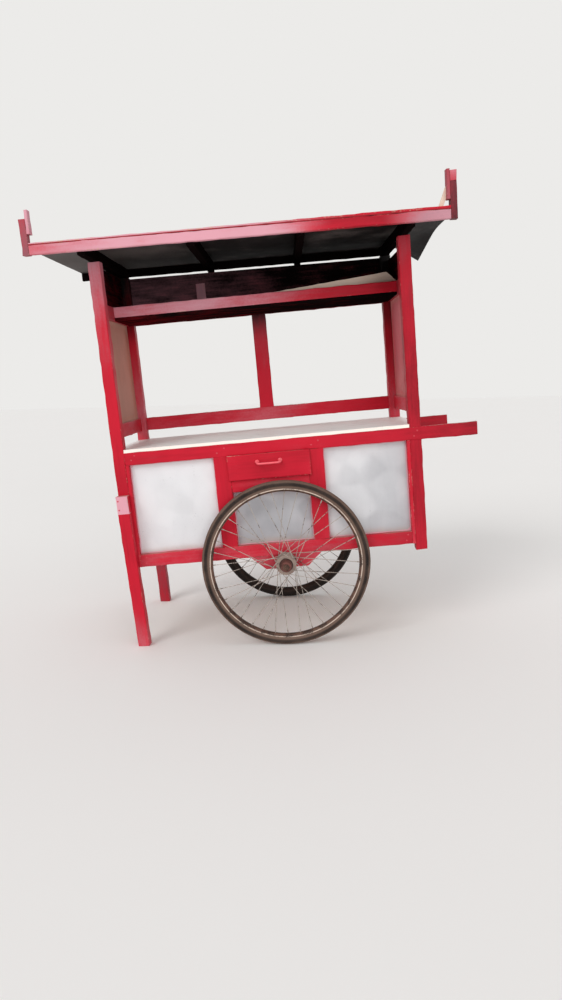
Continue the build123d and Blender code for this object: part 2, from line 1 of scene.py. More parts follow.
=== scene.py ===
"""A wooden street food cart on two wire wheels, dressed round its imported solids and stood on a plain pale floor."""

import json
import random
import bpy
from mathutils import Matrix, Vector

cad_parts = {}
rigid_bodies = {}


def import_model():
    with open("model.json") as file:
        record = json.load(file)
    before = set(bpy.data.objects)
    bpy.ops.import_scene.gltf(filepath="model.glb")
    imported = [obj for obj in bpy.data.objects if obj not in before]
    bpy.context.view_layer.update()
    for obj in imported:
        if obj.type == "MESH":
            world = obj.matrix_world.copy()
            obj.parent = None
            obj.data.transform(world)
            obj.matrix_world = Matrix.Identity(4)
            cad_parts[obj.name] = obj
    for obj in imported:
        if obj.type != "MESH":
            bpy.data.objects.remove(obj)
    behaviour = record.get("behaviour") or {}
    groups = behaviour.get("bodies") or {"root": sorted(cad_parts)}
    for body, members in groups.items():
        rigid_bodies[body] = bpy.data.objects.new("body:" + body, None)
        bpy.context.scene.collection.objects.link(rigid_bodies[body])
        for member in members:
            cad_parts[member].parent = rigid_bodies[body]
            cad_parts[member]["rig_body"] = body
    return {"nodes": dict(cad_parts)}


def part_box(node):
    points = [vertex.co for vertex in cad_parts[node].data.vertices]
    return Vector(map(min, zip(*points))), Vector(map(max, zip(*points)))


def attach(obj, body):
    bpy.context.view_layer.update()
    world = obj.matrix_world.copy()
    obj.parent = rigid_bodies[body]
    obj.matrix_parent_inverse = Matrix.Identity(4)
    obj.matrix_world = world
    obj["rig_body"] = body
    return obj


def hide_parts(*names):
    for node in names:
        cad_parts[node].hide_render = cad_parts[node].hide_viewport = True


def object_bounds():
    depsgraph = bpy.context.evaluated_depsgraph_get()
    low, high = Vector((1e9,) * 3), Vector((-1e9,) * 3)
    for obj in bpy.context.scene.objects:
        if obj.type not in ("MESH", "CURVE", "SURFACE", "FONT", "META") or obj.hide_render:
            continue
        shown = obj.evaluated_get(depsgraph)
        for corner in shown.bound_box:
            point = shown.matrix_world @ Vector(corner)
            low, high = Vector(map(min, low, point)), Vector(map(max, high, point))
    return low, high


bl_info = {
    "name": "Street food cart",
    "version": (1, 0, 0),
    "blender": (4, 5, 0),
    "location": "3D View > Sidebar > Food cart",
    "description": "Weathers the timbers, sheets, wheels and fittings of a wooden food cart",
    "category": "Object",
}

from math import atan2, ceil, cos, pi, radians, sin

import bmesh
import bpy
from bpy.props import FloatProperty, FloatVectorProperty, IntProperty, PointerProperty
from mathutils import Matrix, Vector

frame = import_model()
cad_limits = [list(corner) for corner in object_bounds()]

# The cart leans on its legs, turned about its axle: along, across and up are measured in its own frame
park_tilt = radians(3.7)
axle_in_cart = Vector((0.6845, 0.0, -0.0255))
axle_low, axle_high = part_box("axle")
axle_centre = (axle_low + axle_high) / 2
cart_to_world = (
    Matrix.Translation(axle_centre) @ Matrix.Rotation(-park_tilt, 4, "Y") @ Matrix.Translation(-axle_in_cart)
)
world_to_cart = cart_to_world.inverted()
ALONG, ACROSS, UP = range(3)

WELD = 1e-5  # points closer than this become one
FLAT = radians(1)  # faces that turn less than this become one
DULL = 0.13  # gloss of old paint, raw wood and rubber
SMOKED_SHADED = 0.0  # gloss of paint that soot covers, where soot values also paint shade


def linear(code):
    """Scene-linear red, green and blue of a colour written as six hex digits."""
    shares = [int(code[start : start + 2], 16) / 255 for start in (0, 2, 4)]
    return tuple(share / 12.92 if share <= 0.04045 else ((share + 0.055) / 1.055) ** 2.4 for share in shares)


def tint(name, description, code):
    """A colour in the sidebar, with its default written as six hex digits."""
    return FloatVectorProperty(
        name=name, description=description, subtype="COLOR", size=3, min=0.0, max=1.0, default=linear(code)
    )


def metres(name, description, default):
    """A length in the sidebar."""
    return FloatProperty(
        name=name, description=description, subtype="DISTANCE", unit="LENGTH", precision=4, min=0.0, default=default
    )


def angle(name, description, degrees):
    """An angle in the sidebar, with its default in degrees."""
    return FloatProperty(name=name, description=description, subtype="ANGLE", default=radians(degrees))


def amount(name, description, default):
    """A plain number in the sidebar."""
    return FloatProperty(name=name, description=description, min=0.0, default=default)


class PaintColours(bpy.types.PropertyGroup):
    """Colours of the cart's finishes."""

    red: tint("Red paint", "Gloss red of the frame", "c91c31")
    # Also painted shade on the roof sheet's front edge
    dark_red: tint("Dark red", "Red paint where it has darkened", "a51626")
    # Also painted light, where fade values paint glare and lit faces on the timbers, and a painted highlight on the
    # nails' tops
    pink: tint("Faded paint", "Red paint bleached by the sun", "e1a6b3")
    # Partly a painted highlight on the pull's faces that look up
    pull: tint("Rubbed pull", "Brighter red where hands rub the pull", "ff6f7b")
    primer: tint("Primer", "Pale primer where the red has chipped", "e2b0a8")
    wood: tint("Bare wood", "Light bands of bare sawn wood", "cda886")
    wood_dark: tint("Bare wood bands", "Dark bands of bare sawn wood", "a37a58")
    # Also painted light on the loose batten's shaded faces, and a painted highlight on the near rim's lip
    fresh_wood: tint("Fresh wood", "Newly split or cut wood", "f0dccb")
    # Also painted shade, where soot values darken the timbers towards the handle end and under the roof, and on the
    # far rim
    soot_and_shade: tint("Soot", "Cooking soot and old grease", "120c0c")
    dust: tint("Dust", "Street dust that lies on ledges", "b8a697")
    counter: tint("Counter", "Pale paint of the counter", "fbfcf8")
    counter_edge: tint("Counter edge", "Cream front edge of the counter", "fbf1e7")
    counter_stain: tint("Counter stain", "Grey streaks wiped along the counter", "e2e1dc")
    sheet: tint("Sheet", "White paint of the sheet panels", "e6e6e8")
    # Also painted shade on the sheets: on their dent facets, behind the wheel, towards the handle end and at their
    # feet
    sheet_grime_and_shade: tint("Sheet grime", "Grey dirt on the sheet panels", "84848a")
    # Partly painted shade: the underside is darker than its smoke makes it
    roof_under: tint("Roof underside", "Smoked underside of the roof sheet", "1b1919")
    # Partly painted sheen on the underside
    roof_patch_and_sheen: tint("Roof patches", "Lighter patches under the roof", "5c5856")
    roof_top: tint("Roof top", "Weathered top of the roof sheet", "8a7f76")
    # Both pane tints also paint what the dusty glass reflects and lets through
    pane_left: tint("Left pane", "Dusty pane of the leg end", "c88674")
    pane_right: tint("Right pane", "Dusty pane of the handle end", "e0626c")
    rubber: tint("Rubber", "Clean black rubber", "211d1c")
    road_dust: tint("Road dust", "Dust on the tyre's sides", "745f54")
    rust: tint("Rust", "Rust of the rims and axle", "62463a")
    rust_dark: tint("Dark rust", "Old rust under the dust", "33231d")
    steel: tint("Steel", "Dull plating that is left on the steel", "b3a9a0")
    hub_cap: tint("Hub cap", "Red-brown middle of the hubs", "83514a")
    hub_dust: tint("Hub dust", "Grey road dust on the hub flanges", "98857b")


class TimberWear(bpy.types.PropertyGroup):
    """How the timbers and sheets have worn."""

    edge_band: metres("Edge band", "Width of the worn band beside each edge", 0.004)
    cut_step: metres("Cut step", "Distance between the rows of points along a timber", 0.03)
    wave_depth: metres("Wave depth", "How far a sawn face is out of true", 0.0012)
    wave_size: metres("Wave size", "Size of the waves in a sawn face", 0.16)
    chip_depth: metres("Chip depth", "Depth of the chips in the edges", 0.003)
    chip_size: metres("Chip size", "Length of the chips in the edges", 0.022)
    dent_depth: metres("Dent depth", "Depth of the dents in the sheet panels", 0.012)
    dent_size: metres("Dent size", "Size of the dents in the sheet panels", 0.16)
    crease_depth: metres("Crease depth", "Depth of the creases in the sheet panels", 0.006)
    crease_size: metres("Crease size", "Size of the facets between creases", 0.14)
    sheet_step: metres("Sheet step", "Distance between the rows of points on a sheet", 0.014)


class WheelSizes(bpy.types.PropertyGroup):
    """Sizes of the two wire wheels, as on the solids where they have the same part."""

    tyre_radius: metres("Tyre radius", "From the axle to the tread", 0.356)
    tyre_depth: metres("Tyre depth", "From the tread to the seat in the rim", 0.034)
    tyre_width: metres("Tyre width", "Widest part of the tyre", 0.038)
    rim_depth: metres("Rim depth", "From the tyre's seat to the bottom of the well", 0.013)
    rim_width: metres("Rim width", "Across the rim's lips", 0.033)
    well_width: metres("Well width", "Across the bottom of the well", 0.016)
    groove_depth: metres("Groove depth", "Depth of the grooves round the tread", 0.0012)
    tread_blocks: IntProperty(name="Tread blocks", description="Blocks round the tread", min=24, default=144)
    standoff: metres("Standoff", "From the cart's side to the wheel's middle", 0.05)
    hub_inner: metres("Hub inner length", "From the wheel's middle to the hub's inner end", 0.036)
    hub_outer: metres("Hub outer length", "From the wheel's middle to the hub's outer end", 0.062)
    bore: metres("Bore", "Radius of the hub's bore", 0.01005)
    barrel: metres("Barrel", "Radius of the hub's barrel", 0.019)
    flange: metres("Flange", "Radius of the hub's flanges", 0.043)
    flange_offset: metres("Flange offset", "From the wheel's middle to each flange", 0.026)
    flange_thickness: metres("Flange thickness", "Thickness of a flange", 0.004)
    cap: metres("Cap", "Radius of the dust cap", 0.024)
    spoke_count: IntProperty(name="Spokes", description="Spokes in a wheel", min=4, default=36)
    spoke_radius: metres("Spoke radius", "Radius of a spoke", 0.0013)
    spoke_circle: metres("Spoke circle", "Radius of the circle of spoke heads", 0.038)
    spoke_lace: metres("Spoke lace", "From a flange to the heads on either side of it", 0.0046)
    spoke_dish: metres("Spoke dish", "From the wheel's middle to the spoke ends", 0.003)
    spoke_cross: angle("Spoke cross", "Turn of a spoke from hub to rim", 60)
    nipple_radius: metres("Nipple radius", "Radius of a spoke nipple", 0.0024)
    nipple_length: metres("Nipple length", "Length of a spoke nipple", 0.012)


class StageSettings(bpy.types.PropertyGroup):
    """Floor, lights and camera."""

    floor_size: metres("Floor size", "Length of the floor's sides", 60.0)
    floor: tint("Floor colour", "Plain pale floor", "f7f5f3")
    backdrop: tint("Backdrop colour", "Plain background behind the cart", "ecebe9")
    ambient: amount("Ambient", "Light from all round", 0.67)
    key_power: amount("Key light", "Broad soft light from the leg end", 1.0)
    fill_power: amount("Fill light", "Low soft light from the front", 0.62)
    softness: angle("Softness", "Width of the lamps in the sky", 28)
    camera_place: FloatVectorProperty(
        name="Camera place", description="Where the photograph was taken", subtype="TRANSLATION", unit="LENGTH",
        default=(0.0932, -3.1970, 1.1260),
    )
    camera_yaw: angle("Yaw", "Turn to the right", -0.633)
    camera_pitch: angle("Pitch", "Look down", 9.755)
    camera_roll: angle("Roll", "Lean to the right", 1.515)
    lens: amount("Lens", "Focal length in millimetres on a 36 mm sensor", 25.44)


class CartSettings(bpy.types.PropertyGroup):
    """All settings of the cart."""

    paint: PointerProperty(type=PaintColours)
    wear: PointerProperty(type=TimberWear)
    wheel: PointerProperty(type=WheelSizes)
    stage: PointerProperty(type=StageSettings)


# Shader maths


class Value:
    """A shader socket that takes part in Python expressions."""

    def __init__(self, finish, socket):
        self.finish, self.socket = finish, socket

    def maths(self, operation, first, second, clamp=False):
        return self.finish.add("Math", {"operation": operation, "use_clamp": clamp}, {0: first, 1: second})

    def __add__(self, other):
        return self.maths("ADD", self, other)

    def __sub__(self, other):
        return self.maths("SUBTRACT", self, other)

    def __rsub__(self, other):
        return self.maths("SUBTRACT", other, self)

    def __mul__(self, other):
        return self.maths("MULTIPLY", self, other)

    __radd__ = __add__

    def or_more(self, other):
        return self.maths("MAXIMUM", self, other)

    def held(self):
        """The value kept from 0 to 1."""
        return self.maths("ADD", self, 0.0, clamp=True)


class Finish:
    """A material, with its nodes added one call at a time."""

    def __init__(self, name):
        self.material = bpy.data.materials.new(name)
        self.material.use_nodes = True
        self.tree = self.material.node_tree

    def add(self, kind, settings=None, inputs=None, output=0):
        """A new node with its settings made first, then its sockets filled."""
        node = self.tree.nodes.new("ShaderNode" + kind)
        for name, setting in (settings or {}).items():
            setattr(node, name, setting)
        self.fill(node, inputs or {})
        return Value(self, node.outputs[output])

    def fill(self, node, inputs):
        """Links a node's sockets or sets their values."""
        for name, value in inputs.items():
            if isinstance(value, Value):
                self.tree.links.new(value.socket, node.inputs[name])
            elif node.inputs[name].type == "RGBA":
                node.inputs[name].default_value = (*value, 1.0)
            else:
                node.inputs[name].default_value = value

    def surface(self, colour, rough, gloss, height, depth, **others):
        """Fills the shader: how rough it is, its gloss, and bumps of a height and a depth in metres."""
        bumps = self.add("Bump", None, {"Strength": 0.7, "Distance": depth, "Height": height})
        inputs = {"Base Color": colour, "Roughness": rough.held(), "Specular IOR Level": gloss, "Normal": bumps}
        self.fill(self.tree.nodes["Principled BSDF"], {**inputs, **others})

    def mix(self, share, first, second):
        """The first colour, with a share of the second."""
        return self.add("Mix", {"data_type": "RGBA"}, {0: share, 6: first, 7: second}, output=2)

    def stretch(self, vector, scale):
        return self.add("VectorMath", {"operation": "MULTIPLY"}, {0: vector, 1: scale})

    def noise(self, vector, scale, detail=3.0, roughness=0.55):
        """Soft cloudy noise about one half, stretched where it is given three scales."""
        if isinstance(scale, tuple):
            vector, scale = self.stretch(vector, scale), 1.0
        inputs = {"Vector": vector, "Scale": scale, "Detail": detail, "Roughness": roughness}
        return self.add("TexNoise", None, inputs)

    def rise(self, value, low, high):
        """0 below the low value, 1 above the high one and smooth between them."""
        inputs = {"Value": value, "From Min": low, "From Max": high}
        return self.add("MapRange", {"interpolation_type": "SMOOTHSTEP"}, inputs)

    def attribute(self, name, output="Fac"):
        return self.add("Attribute", {"attribute_name": name}, output=output)

    def place(self):
        """Where a point is in the scene."""
        return self.add("TexCoord", output="Object")

    def place_from(self, centre, turn=(0.0, 0.0, 0.0)):
        """Where a point is from a centre, in a frame that is turned about it."""
        inputs = {"Vector": self.place(), "Location": centre, "Rotation": turn}
        return self.add("Mapping", {"vector_type": "TEXTURE"}, inputs)

    def cart_place(self):
        """Where a point is along, across and up the leaning cart."""
        return self.place_from(cart_to_world.translation, (0.0, -park_tilt, 0.0))

    def parts(self, vector):
        """The three parts of a vector."""
        first = self.add("SeparateXYZ", None, {"Vector": vector})
        return [Value(self, socket) for socket in first.socket.node.outputs]

    def normal(self):
        return self.parts(self.add("NewGeometry", output="Normal"))


# Finishes


def grain_values(finish):
    """Streaks along the grain, broad patches and fine specks of a timber."""
    grain = finish.attribute("grain", "Vector")
    streaks = finish.noise(grain, (7.0, 110.0, 110.0), 4.0)
    patches = finish.noise(grain, (7.0, 16.0, 16.0), 4.0)
    return grain, streaks, patches, finish.noise(grain, 140.0)


def dust_on_ledges(finish, colour, dust, patches):
    """Patches of dust on the faces that look up."""
    upward = finish.rise(finish.normal()[UP], 0.55, 0.95)
    return finish.mix(upward * finish.rise(patches, 0.3, 0.62) * 0.4, colour, dust)


def red_paint(name, gloss, paint):
    """Red on sawn timber: bleached where its fade value is high, which in places is painted light; sooted where its
    soot value is, which in places is painted shade; bare on worn edges.
    """
    finish = Finish(name)
    grain, streaks, patches, specks = grain_values(finish)
    arris, fade_and_light, soot_and_shade = (finish.attribute(name) for name in ("arris", "fade_and_light", "soot_and_shade"))
    clouds = finish.noise(grain, (3.0, 5.0, 5.0), 2.0)
    wobble = (patches - 0.5) * 0.9 + (streaks - 0.5) * 0.5 + (specks - 0.5) * 0.3
    # Fade values turn the paint pink: bleaching, and in places painted light
    chalk_and_light = finish.rise(fade_and_light + wobble * (fade_and_light * 0.8 + 0.22), 0.1, 0.95)
    darkened = finish.rise(clouds + (streaks - 0.5) * 0.4, 0.42, 0.75) * 0.6
    colour = finish.mix(chalk_and_light * 0.94, finish.mix(darkened, paint.red, paint.dark_red), paint.pink)
    # Soot values turn the paint black: soot, and in places painted shade
    dirt_and_shade = finish.rise(soot_and_shade + wobble * (soot_and_shade * 0.6 + 0.15), 0.08, 1.05)
    colour = finish.mix(dirt_and_shade, colour, paint.soot_and_shade)
    bare = finish.rise(arris * 0.5 + (specks - 0.5) * 1.5 + (patches - 0.5) * 1.1, 0.62, 0.78)
    chipped = finish.mix(streaks, paint.primer, paint.wood)
    colour = finish.mix(bare * (1.0 - dirt_and_shade) * (0.35 + chalk_and_light * 0.5), colour, chipped)
    colour = dust_on_ledges(finish, colour, paint.dust, patches)
    rough = 0.5 + chalk_and_light * 0.25 + bare * 0.2 + (specks - 0.5) * 0.25
    height = streaks * 0.5 + specks * 0.2 - bare * 0.5
    finish.surface(colour, rough, gloss, height, 0.001)


def bare_wood(paint):
    """Unpainted sawn timber in light and dark bands: fresh where its fade value is high, which on the loose batten is
    painted light; sooted where its soot value is.
    """
    finish = Finish("bare_sawn_wood")
    grain, streaks, patches, specks = grain_values(finish)
    fade_and_light, soot_and_shade = (finish.attribute(name) for name in ("fade_and_light", "soot_and_shade"))
    saw_marks = finish.noise(grain, (260.0, 12.0, 12.0), 2.0)
    bands = finish.rise(streaks + (patches - 0.5) * 0.5, 0.38, 0.66)
    colour = finish.mix(bands, paint.wood, paint.wood_dark)
    # Fade values turn the wood fresh: on the loose batten this is painted light
    colour = finish.mix((fade_and_light + (streaks - 0.5) * 0.5 * fade_and_light).held() * 0.92, colour, paint.fresh_wood)
    dirt_and_shade = finish.rise(soot_and_shade + (patches - 0.5) * 0.8 + (streaks - 0.5) * 0.5, 0.1, 1.1)
    colour = finish.mix(dirt_and_shade * 0.9, colour, paint.soot_and_shade)
    colour = dust_on_ledges(finish, colour, paint.dust, patches)
    height = streaks * 0.6 + saw_marks * 0.3 + specks * 0.1
    finish.surface(colour, 0.72 + (streaks - 0.5) * 0.3, DULL, height, 0.0012)


def counter_paint(paint):
    """Pale paint on the counter: wiped streaks along it, dark spots and a cream front edge."""
    finish = Finish("scuffed_counter_paint")
    place = finish.cart_place()
    wiped = finish.noise(place, (2.2, 30.0, 30.0), 4.0, 0.6)
    patches = finish.noise(place, 9.0, 4.0)
    specks = finish.noise(place, 190.0, 2.0)
    stain = finish.rise(wiped + (patches - 0.5) * 0.6, 0.46, 0.74)
    colour = finish.mix(stain * 0.4, paint.counter, paint.counter_stain)
    spots = finish.rise(specks + (patches - 0.5) * 0.5, 0.66, 0.75)
    colour = finish.mix(spots * 0.3, colour, paint.wood_dark)
    back = finish.rise(finish.parts(place)[ACROSS] + (wiped - 0.5) * 0.12, 0.14, 0.27)
    colour = finish.mix(back * 0.08, colour, paint.dust)
    front = finish.rise(finish.normal()[ACROSS], -0.5, -0.9)
    colour = finish.mix(front * (1.0 - spots), colour, paint.counter_edge)
    rough = 0.46 + stain * 0.2 + (specks - 0.5) * 0.3
    finish.surface(colour, rough, 0.35, wiped * 0.4 + specks * 0.3 - spots * 0.4, 0.0008)


def white_sheet(paint):
    """White paint on thin sheet: painted shade on faint facets, grime with painted shade, a dust line and ragged red
    brush marks round each opening.
    """
    finish = Finish("scuffed_white_sheet")
    place = finish.cart_place()
    patches = finish.noise(place, 7.0, 4.0)
    runs = finish.noise(place, (45.0, 45.0, 9.0))
    specks = finish.noise(place, 170.0)
    inputs = {"Vector": place, "Scale": 11.0, "Smoothness": 0.5}
    # Each facet of the dents gets its own grey: painted shading of the dents
    facet_shade = finish.parts(finish.add("TexVoronoi", {"feature": "SMOOTH_F1"}, inputs, "Color"))[0]
    shade, margin = (finish.attribute(name) for name in ("shade", "margin"))
    # The shade value is painted shade, darkest behind the wheel, towards the handle end and at each sheet's foot
    grime_and_shade = finish.rise(shade + (patches - 0.5) * 0.3 + (runs - 0.5) * 0.06 + (facet_shade - 0.5) * 0.2, -0.12, 1.0)
    colour = finish.mix(grime_and_shade * 0.85, paint.sheet, paint.sheet_grime_and_shade)
    low = 1.0 - finish.rise(finish.parts(place)[UP] + (patches - 0.5) * 0.05, 0.056, 0.085)
    colour = finish.mix(low * 0.45, colour, paint.dust)
    scratches = finish.rise(specks + (runs - 0.5) * 0.5, 0.68, 0.78)
    colour = finish.mix(scratches * 0.25, colour, paint.sheet_grime_and_shade)
    brushed = 1.0 - finish.rise(margin + (specks - 0.5) * 0.006 + (patches - 0.5) * 0.006, 0.003, 0.006)
    colour = finish.mix(brushed * 0.8, colour, paint.pink)
    rough = 0.5 + grime_and_shade * 0.2 + (specks - 0.5) * 0.3
    finish.surface(colour, rough, DULL, runs * 0.1 + specks * 0.25 + patches * 0.7, 0.001)


def roof_paint(paint):
    """Dull sheet: smoked and mottled below, with painted shade over the underside and painted sheen in its lighter
    patches, bleached and rusting above, dark red on its front edge, which also paints the shade of a line there.
    """
    finish = Finish("smoked_shaded_roof_sheet")
    place = finish.cart_place()
    patches = finish.noise(place, 4.5, 5.0, 0.6)
    blots = finish.noise(place, (9.0, 14.0, 1.0), 4.0)
    specks = finish.noise(place, 150.0)
    # Fewer lighter patches towards the handle end: smoke, and painted shade
    smoke_and_shade = finish.rise(finish.parts(place)[ALONG] + (patches - 0.5) * 0.5, -0.15, 0.6)
    # The lighter patches are partly painted sheen
    lighter = finish.rise(patches + (specks - 0.5) * 0.3 + (1.0 - smoke_and_shade) * 0.3, 0.45, 0.78)
    under = finish.mix(lighter, paint.roof_under, paint.roof_patch_and_sheen)
    rusted = finish.rise(blots + (patches - 0.5) * 0.7 + (specks - 0.5) * 0.4, 0.46, 0.76)
    above = finish.mix(rusted, paint.roof_top, paint.rust)
    turn = finish.normal()
    colour = finish.mix(finish.rise(turn[UP], -0.2, 0.3), under, above)
    # The front edge's dark red also paints the shade of the line between the sheet and the fascia
    colour = finish.mix(finish.rise(turn[ACROSS], -0.5, -0.9) * 0.85, colour, paint.dark_red)
    rough = 0.68 + (patches - 0.5) * 0.5 + (specks - 0.5) * 0.2
    finish.surface(colour, rough, 0.1, patches * 0.8 + specks * 0.2, 0.0012)


def dusty_pane(name, base, paint):
    """A pane so dusty that little shows through it, with smears, and thicker dust low down and round its edge."""
    finish = Finish(name)
    place = finish.cart_place()
    smears = finish.noise(place, (20.0, 7.0, 3.5), 4.0)
    specks = finish.noise(place, 120.0)
    edge = 1.0 - finish.rise(finish.attribute("margin") + (smears - 0.5) * 0.03, 0.004, 0.03)
    low = 1.0 - finish.rise(finish.parts(place)[UP] + (smears - 0.5) * 0.2, 0.62, 0.86)
    colour = finish.mix(finish.rise(smears, 0.36, 0.7) * 0.25, base, paint.soot_and_shade)
    colour = finish.mix((edge * 0.35).or_more(low * 0.2), colour, paint.dust)
    cover = (0.92 + (smears - 0.5) * 0.3 + edge * 0.1).held()
    rough = 0.55 + edge * 0.2 + (specks - 0.5) * 0.2
    finish.surface(colour, rough, 0.08, smears * 0.4 + specks * 0.2, 0.0005, Alpha=cover)


def reach_from_axle(finish, place):
    """How far a point is from the axle's line."""
    flat = finish.stretch(place, (1.0, 0.0, 1.0))
    return finish.add("VectorMath", {"operation": "LENGTH"}, {0: flat}, "Value")


def seat_of(wheel):
    """Radius at which a tyre sits in its rim."""
    return wheel.tyre_radius - wheel.tyre_depth


def rubber(name, centre, dust_and_light, paint, wheel):
    """Tyre rubber: a dark band round its side, between dusty edges, and dustier low down."""
    finish = Finish(name)
    place = finish.place_from(centre)
    patches = finish.noise(place, 14.0, 4.0)
    specks = finish.noise(place, 210.0)
    radius, seat = wheel.tyre_radius, seat_of(wheel)
    ragged = reach_from_axle(finish, place) + (patches - 0.5) * 0.006
    inner = 1.0 - finish.rise(ragged, seat + 0.006, seat + 0.014)
    outer = finish.rise(ragged, radius - 0.013, radius - 0.006)
    low = 1.0 - finish.rise(finish.parts(place)[UP], -radius, -radius * 0.7)
    edges = inner * 0.75 + outer * 0.7 + low * 0.15
    # Dust scales with the given share, whose low value on the far tyre also paints shade
    dust = (0.12 + edges + (patches - 0.5) * 0.6 + (specks - 0.5) * 0.4) * dust_and_light
    colour = finish.mix(dust.held(), paint.rubber, paint.road_dust)
    finish.surface(colour, 0.75 + (specks - 0.5) * 0.3, DULL, specks * 0.5 + patches * 0.2, 0.0006)


def rusty_steel(name, paint, plating, clean_and_lit=1.0):
    """Steel with a share of its dull plating left between rust and dust, all of it darker by the share that is not
    clean, which on the far rim also paints shade.
    """
    finish = Finish(name)
    place = finish.place()
    patches = finish.noise(place, 26.0, 5.0, 0.65)
    specks = finish.noise(place, 240.0)
    rust = finish.mix(finish.rise(patches, 0.4, 0.62), paint.rust_dark, paint.rust)
    plated = finish.rise(patches + (specks - 0.5) * 0.6 + plating, 0.92, 1.08)
    colour = finish.mix(plated, rust, paint.steel)
    colour = finish.mix(finish.rise(specks + (patches - 0.5) * 0.5, 0.5, 0.7) * 0.5, colour, paint.road_dust)
    colour = finish.mix(1.0 - clean_and_lit + (patches - 0.5) * 0.1, colour, paint.soot_and_shade)
    rough = 0.66 - plated * 0.2 + (specks - 0.5) * 0.3
    finish.surface(colour, rough, 0.2, patches * 0.6 + specks * 0.4, 0.0005, Metallic=plated * 0.4)


def dusty_hub(name, centre, paint):
    """Hub steel: a red-brown cap, dark at its edge, and flanges grey with road dust."""
    finish = Finish(name)
    place = finish.place_from(centre)
    patches = finish.noise(place, 40.0, 4.0)
    specks = finish.noise(place, 260.0)
    reach = reach_from_axle(finish, place) + (patches - 0.5) * 0.004
    cap = 1.0 - finish.rise(reach, 0.0240, 0.0262)
    flange = finish.rise(reach, 0.0275, 0.0305)
    shaded = finish.rise(reach, 0.0130, 0.0240) * 0.5
    colour = finish.mix(cap * finish.rise(patches, 0.2, 0.55) * (1.0 - shaded), paint.rust_dark, paint.hub_cap)
    colour = finish.mix(flange * finish.rise(patches + (specks - 0.5) * 0.5, 0.15, 0.5), colour, paint.hub_dust)
    rough = 0.6 + flange * 0.2 + (specks - 0.5) * 0.3
    finish.surface(colour, rough, 0.25, patches * 0.5 + specks * 0.4, 0.0005, Metallic=cap * 0.2)


def lipped_rim(centre, paint, wheel):
    """Old steel rim, its lip rubbed pale with a painted highlight on it, and the rest brown with rust and road dust.
    """
    finish = Finish("rubbed_lit_rim_near")
    place = finish.place_from(centre)
    patches = finish.noise(place, 30.0, 4.0)
    specks = finish.noise(place, 240.0)
    seat = seat_of(wheel)
    lip = finish.rise(reach_from_axle(finish, place) + (patches - 0.5) * 0.002, seat - 0.0050, seat - 0.0036)
    brown = finish.mix(finish.rise(patches, 0.38, 0.6), paint.rust_dark, paint.rust)
    brown = finish.mix(finish.rise(specks, 0.45, 0.65) * 0.4, brown, paint.road_dust)
    # The pale lip is rubbed steel and a painted highlight
    rubbed_and_lit = lip * finish.rise(patches + (specks - 0.5) * 0.5, 0.28, 0.5)
    colour = finish.mix(rubbed_and_lit * 0.7, brown, paint.fresh_wood)
    rough = 0.55 - rubbed_and_lit * 0.1 + (specks - 0.5) * 0.3
    finish.surface(colour, rough, 0.3, patches * 0.5 + specks * 0.4, 0.0004, Metallic=rubbed_and_lit * 0.2)


def painted_steel(name, rubbed_and_lit, share, paint):
    """Glossy red paint, lighter by a share of a second colour where it looks up: wear, and a painted highlight."""
    finish = Finish(name)
    place = finish.cart_place()
    patches = finish.noise(place, 60.0)
    specks = finish.noise(place, 400.0, 2.0)
    # The faces that look up take the lighter colour: a painted highlight
    worn = finish.rise(finish.normal()[UP] + (patches - 0.5) * 0.8, -0.9, 0.7)
    colour = finish.mix(worn * share, paint.red, rubbed_and_lit)
    colour = finish.mix(finish.rise(specks + (patches - 0.5) * 0.4, 0.6, 0.7) * 0.6, colour, paint.rust)
    finish.surface(colour, 0.34 + (patches - 0.5) * 0.3, 0.5, specks * 0.5 + patches * 0.3, 0.0004)


def floor_finish(stage):
    """Plain pale floor with faint clouds."""
    finish = Finish("pale_floor")
    clouds = finish.noise(finish.place(), 0.6)
    colour = finish.mix(finish.rise(clouds, 0.3, 0.7) * 0.06, stage.floor, stage.backdrop)
    inputs = {"Base Color": colour, "Roughness": 0.9, "Specular IOR Level": 0.1}
    finish.fill(finish.tree.nodes["Principled BSDF"], inputs)
    return finish.material


# Modelling


def only(piece):
    """Leaves this piece alone selected and active."""
    bpy.ops.object.select_all(action="DESELECT")
    piece.select_set(True)
    bpy.context.view_layer.objects.active = piece


def edit(piece):
    """Opens the piece in edit mode with all of it selected."""
    only(piece)
    bpy.ops.object.mode_set(mode="EDIT")
    bpy.ops.mesh.select_all(action="SELECT")


def close():
    bpy.ops.object.mode_set(mode="OBJECT")


def close_whole():
    """Welds the mesh in edit mode, turns its faces outwards and closes it."""
    bpy.ops.mesh.select_all(action="SELECT")
    bpy.ops.mesh.remove_doubles(threshold=WELD)
    bpy.ops.mesh.normals_make_consistent(inside=False)
    close()


def extrude(*move):
    bpy.ops.mesh.extrude_region_move(TRANSFORM_OT_translate={"value": move})


def pick_faces(piece, test):
    """In edit mode, selects only the faces that pass the test, and counts them."""
    bpy.ops.mesh.select_mode(type="FACE")
    bpy.ops.mesh.select_all(action="DESELECT")
    mesh = bmesh.from_edit_mesh(piece.data)
    found = [face for face in mesh.faces if test(face)]
    for face in found:
        face.select_set(True)
    mesh.select_flush_mode()
    bmesh.update_edit_mesh(piece.data)
    return len(found)


def welded_copy(node, name):
    """A copy of a CAD node as whole solids: its triangles welded and its flat faces made one again."""
    copy = copied(frame["nodes"][node], Matrix(), name)
    edit(copy)
    bpy.ops.mesh.customdata_custom_splitnormals_clear()
    bpy.ops.mesh.mark_sharp(clear=True)
    bpy.ops.mesh.remove_doubles(threshold=WELD)
    bpy.ops.mesh.dissolve_limited(angle_limit=FLAT)
    close()
    return copy


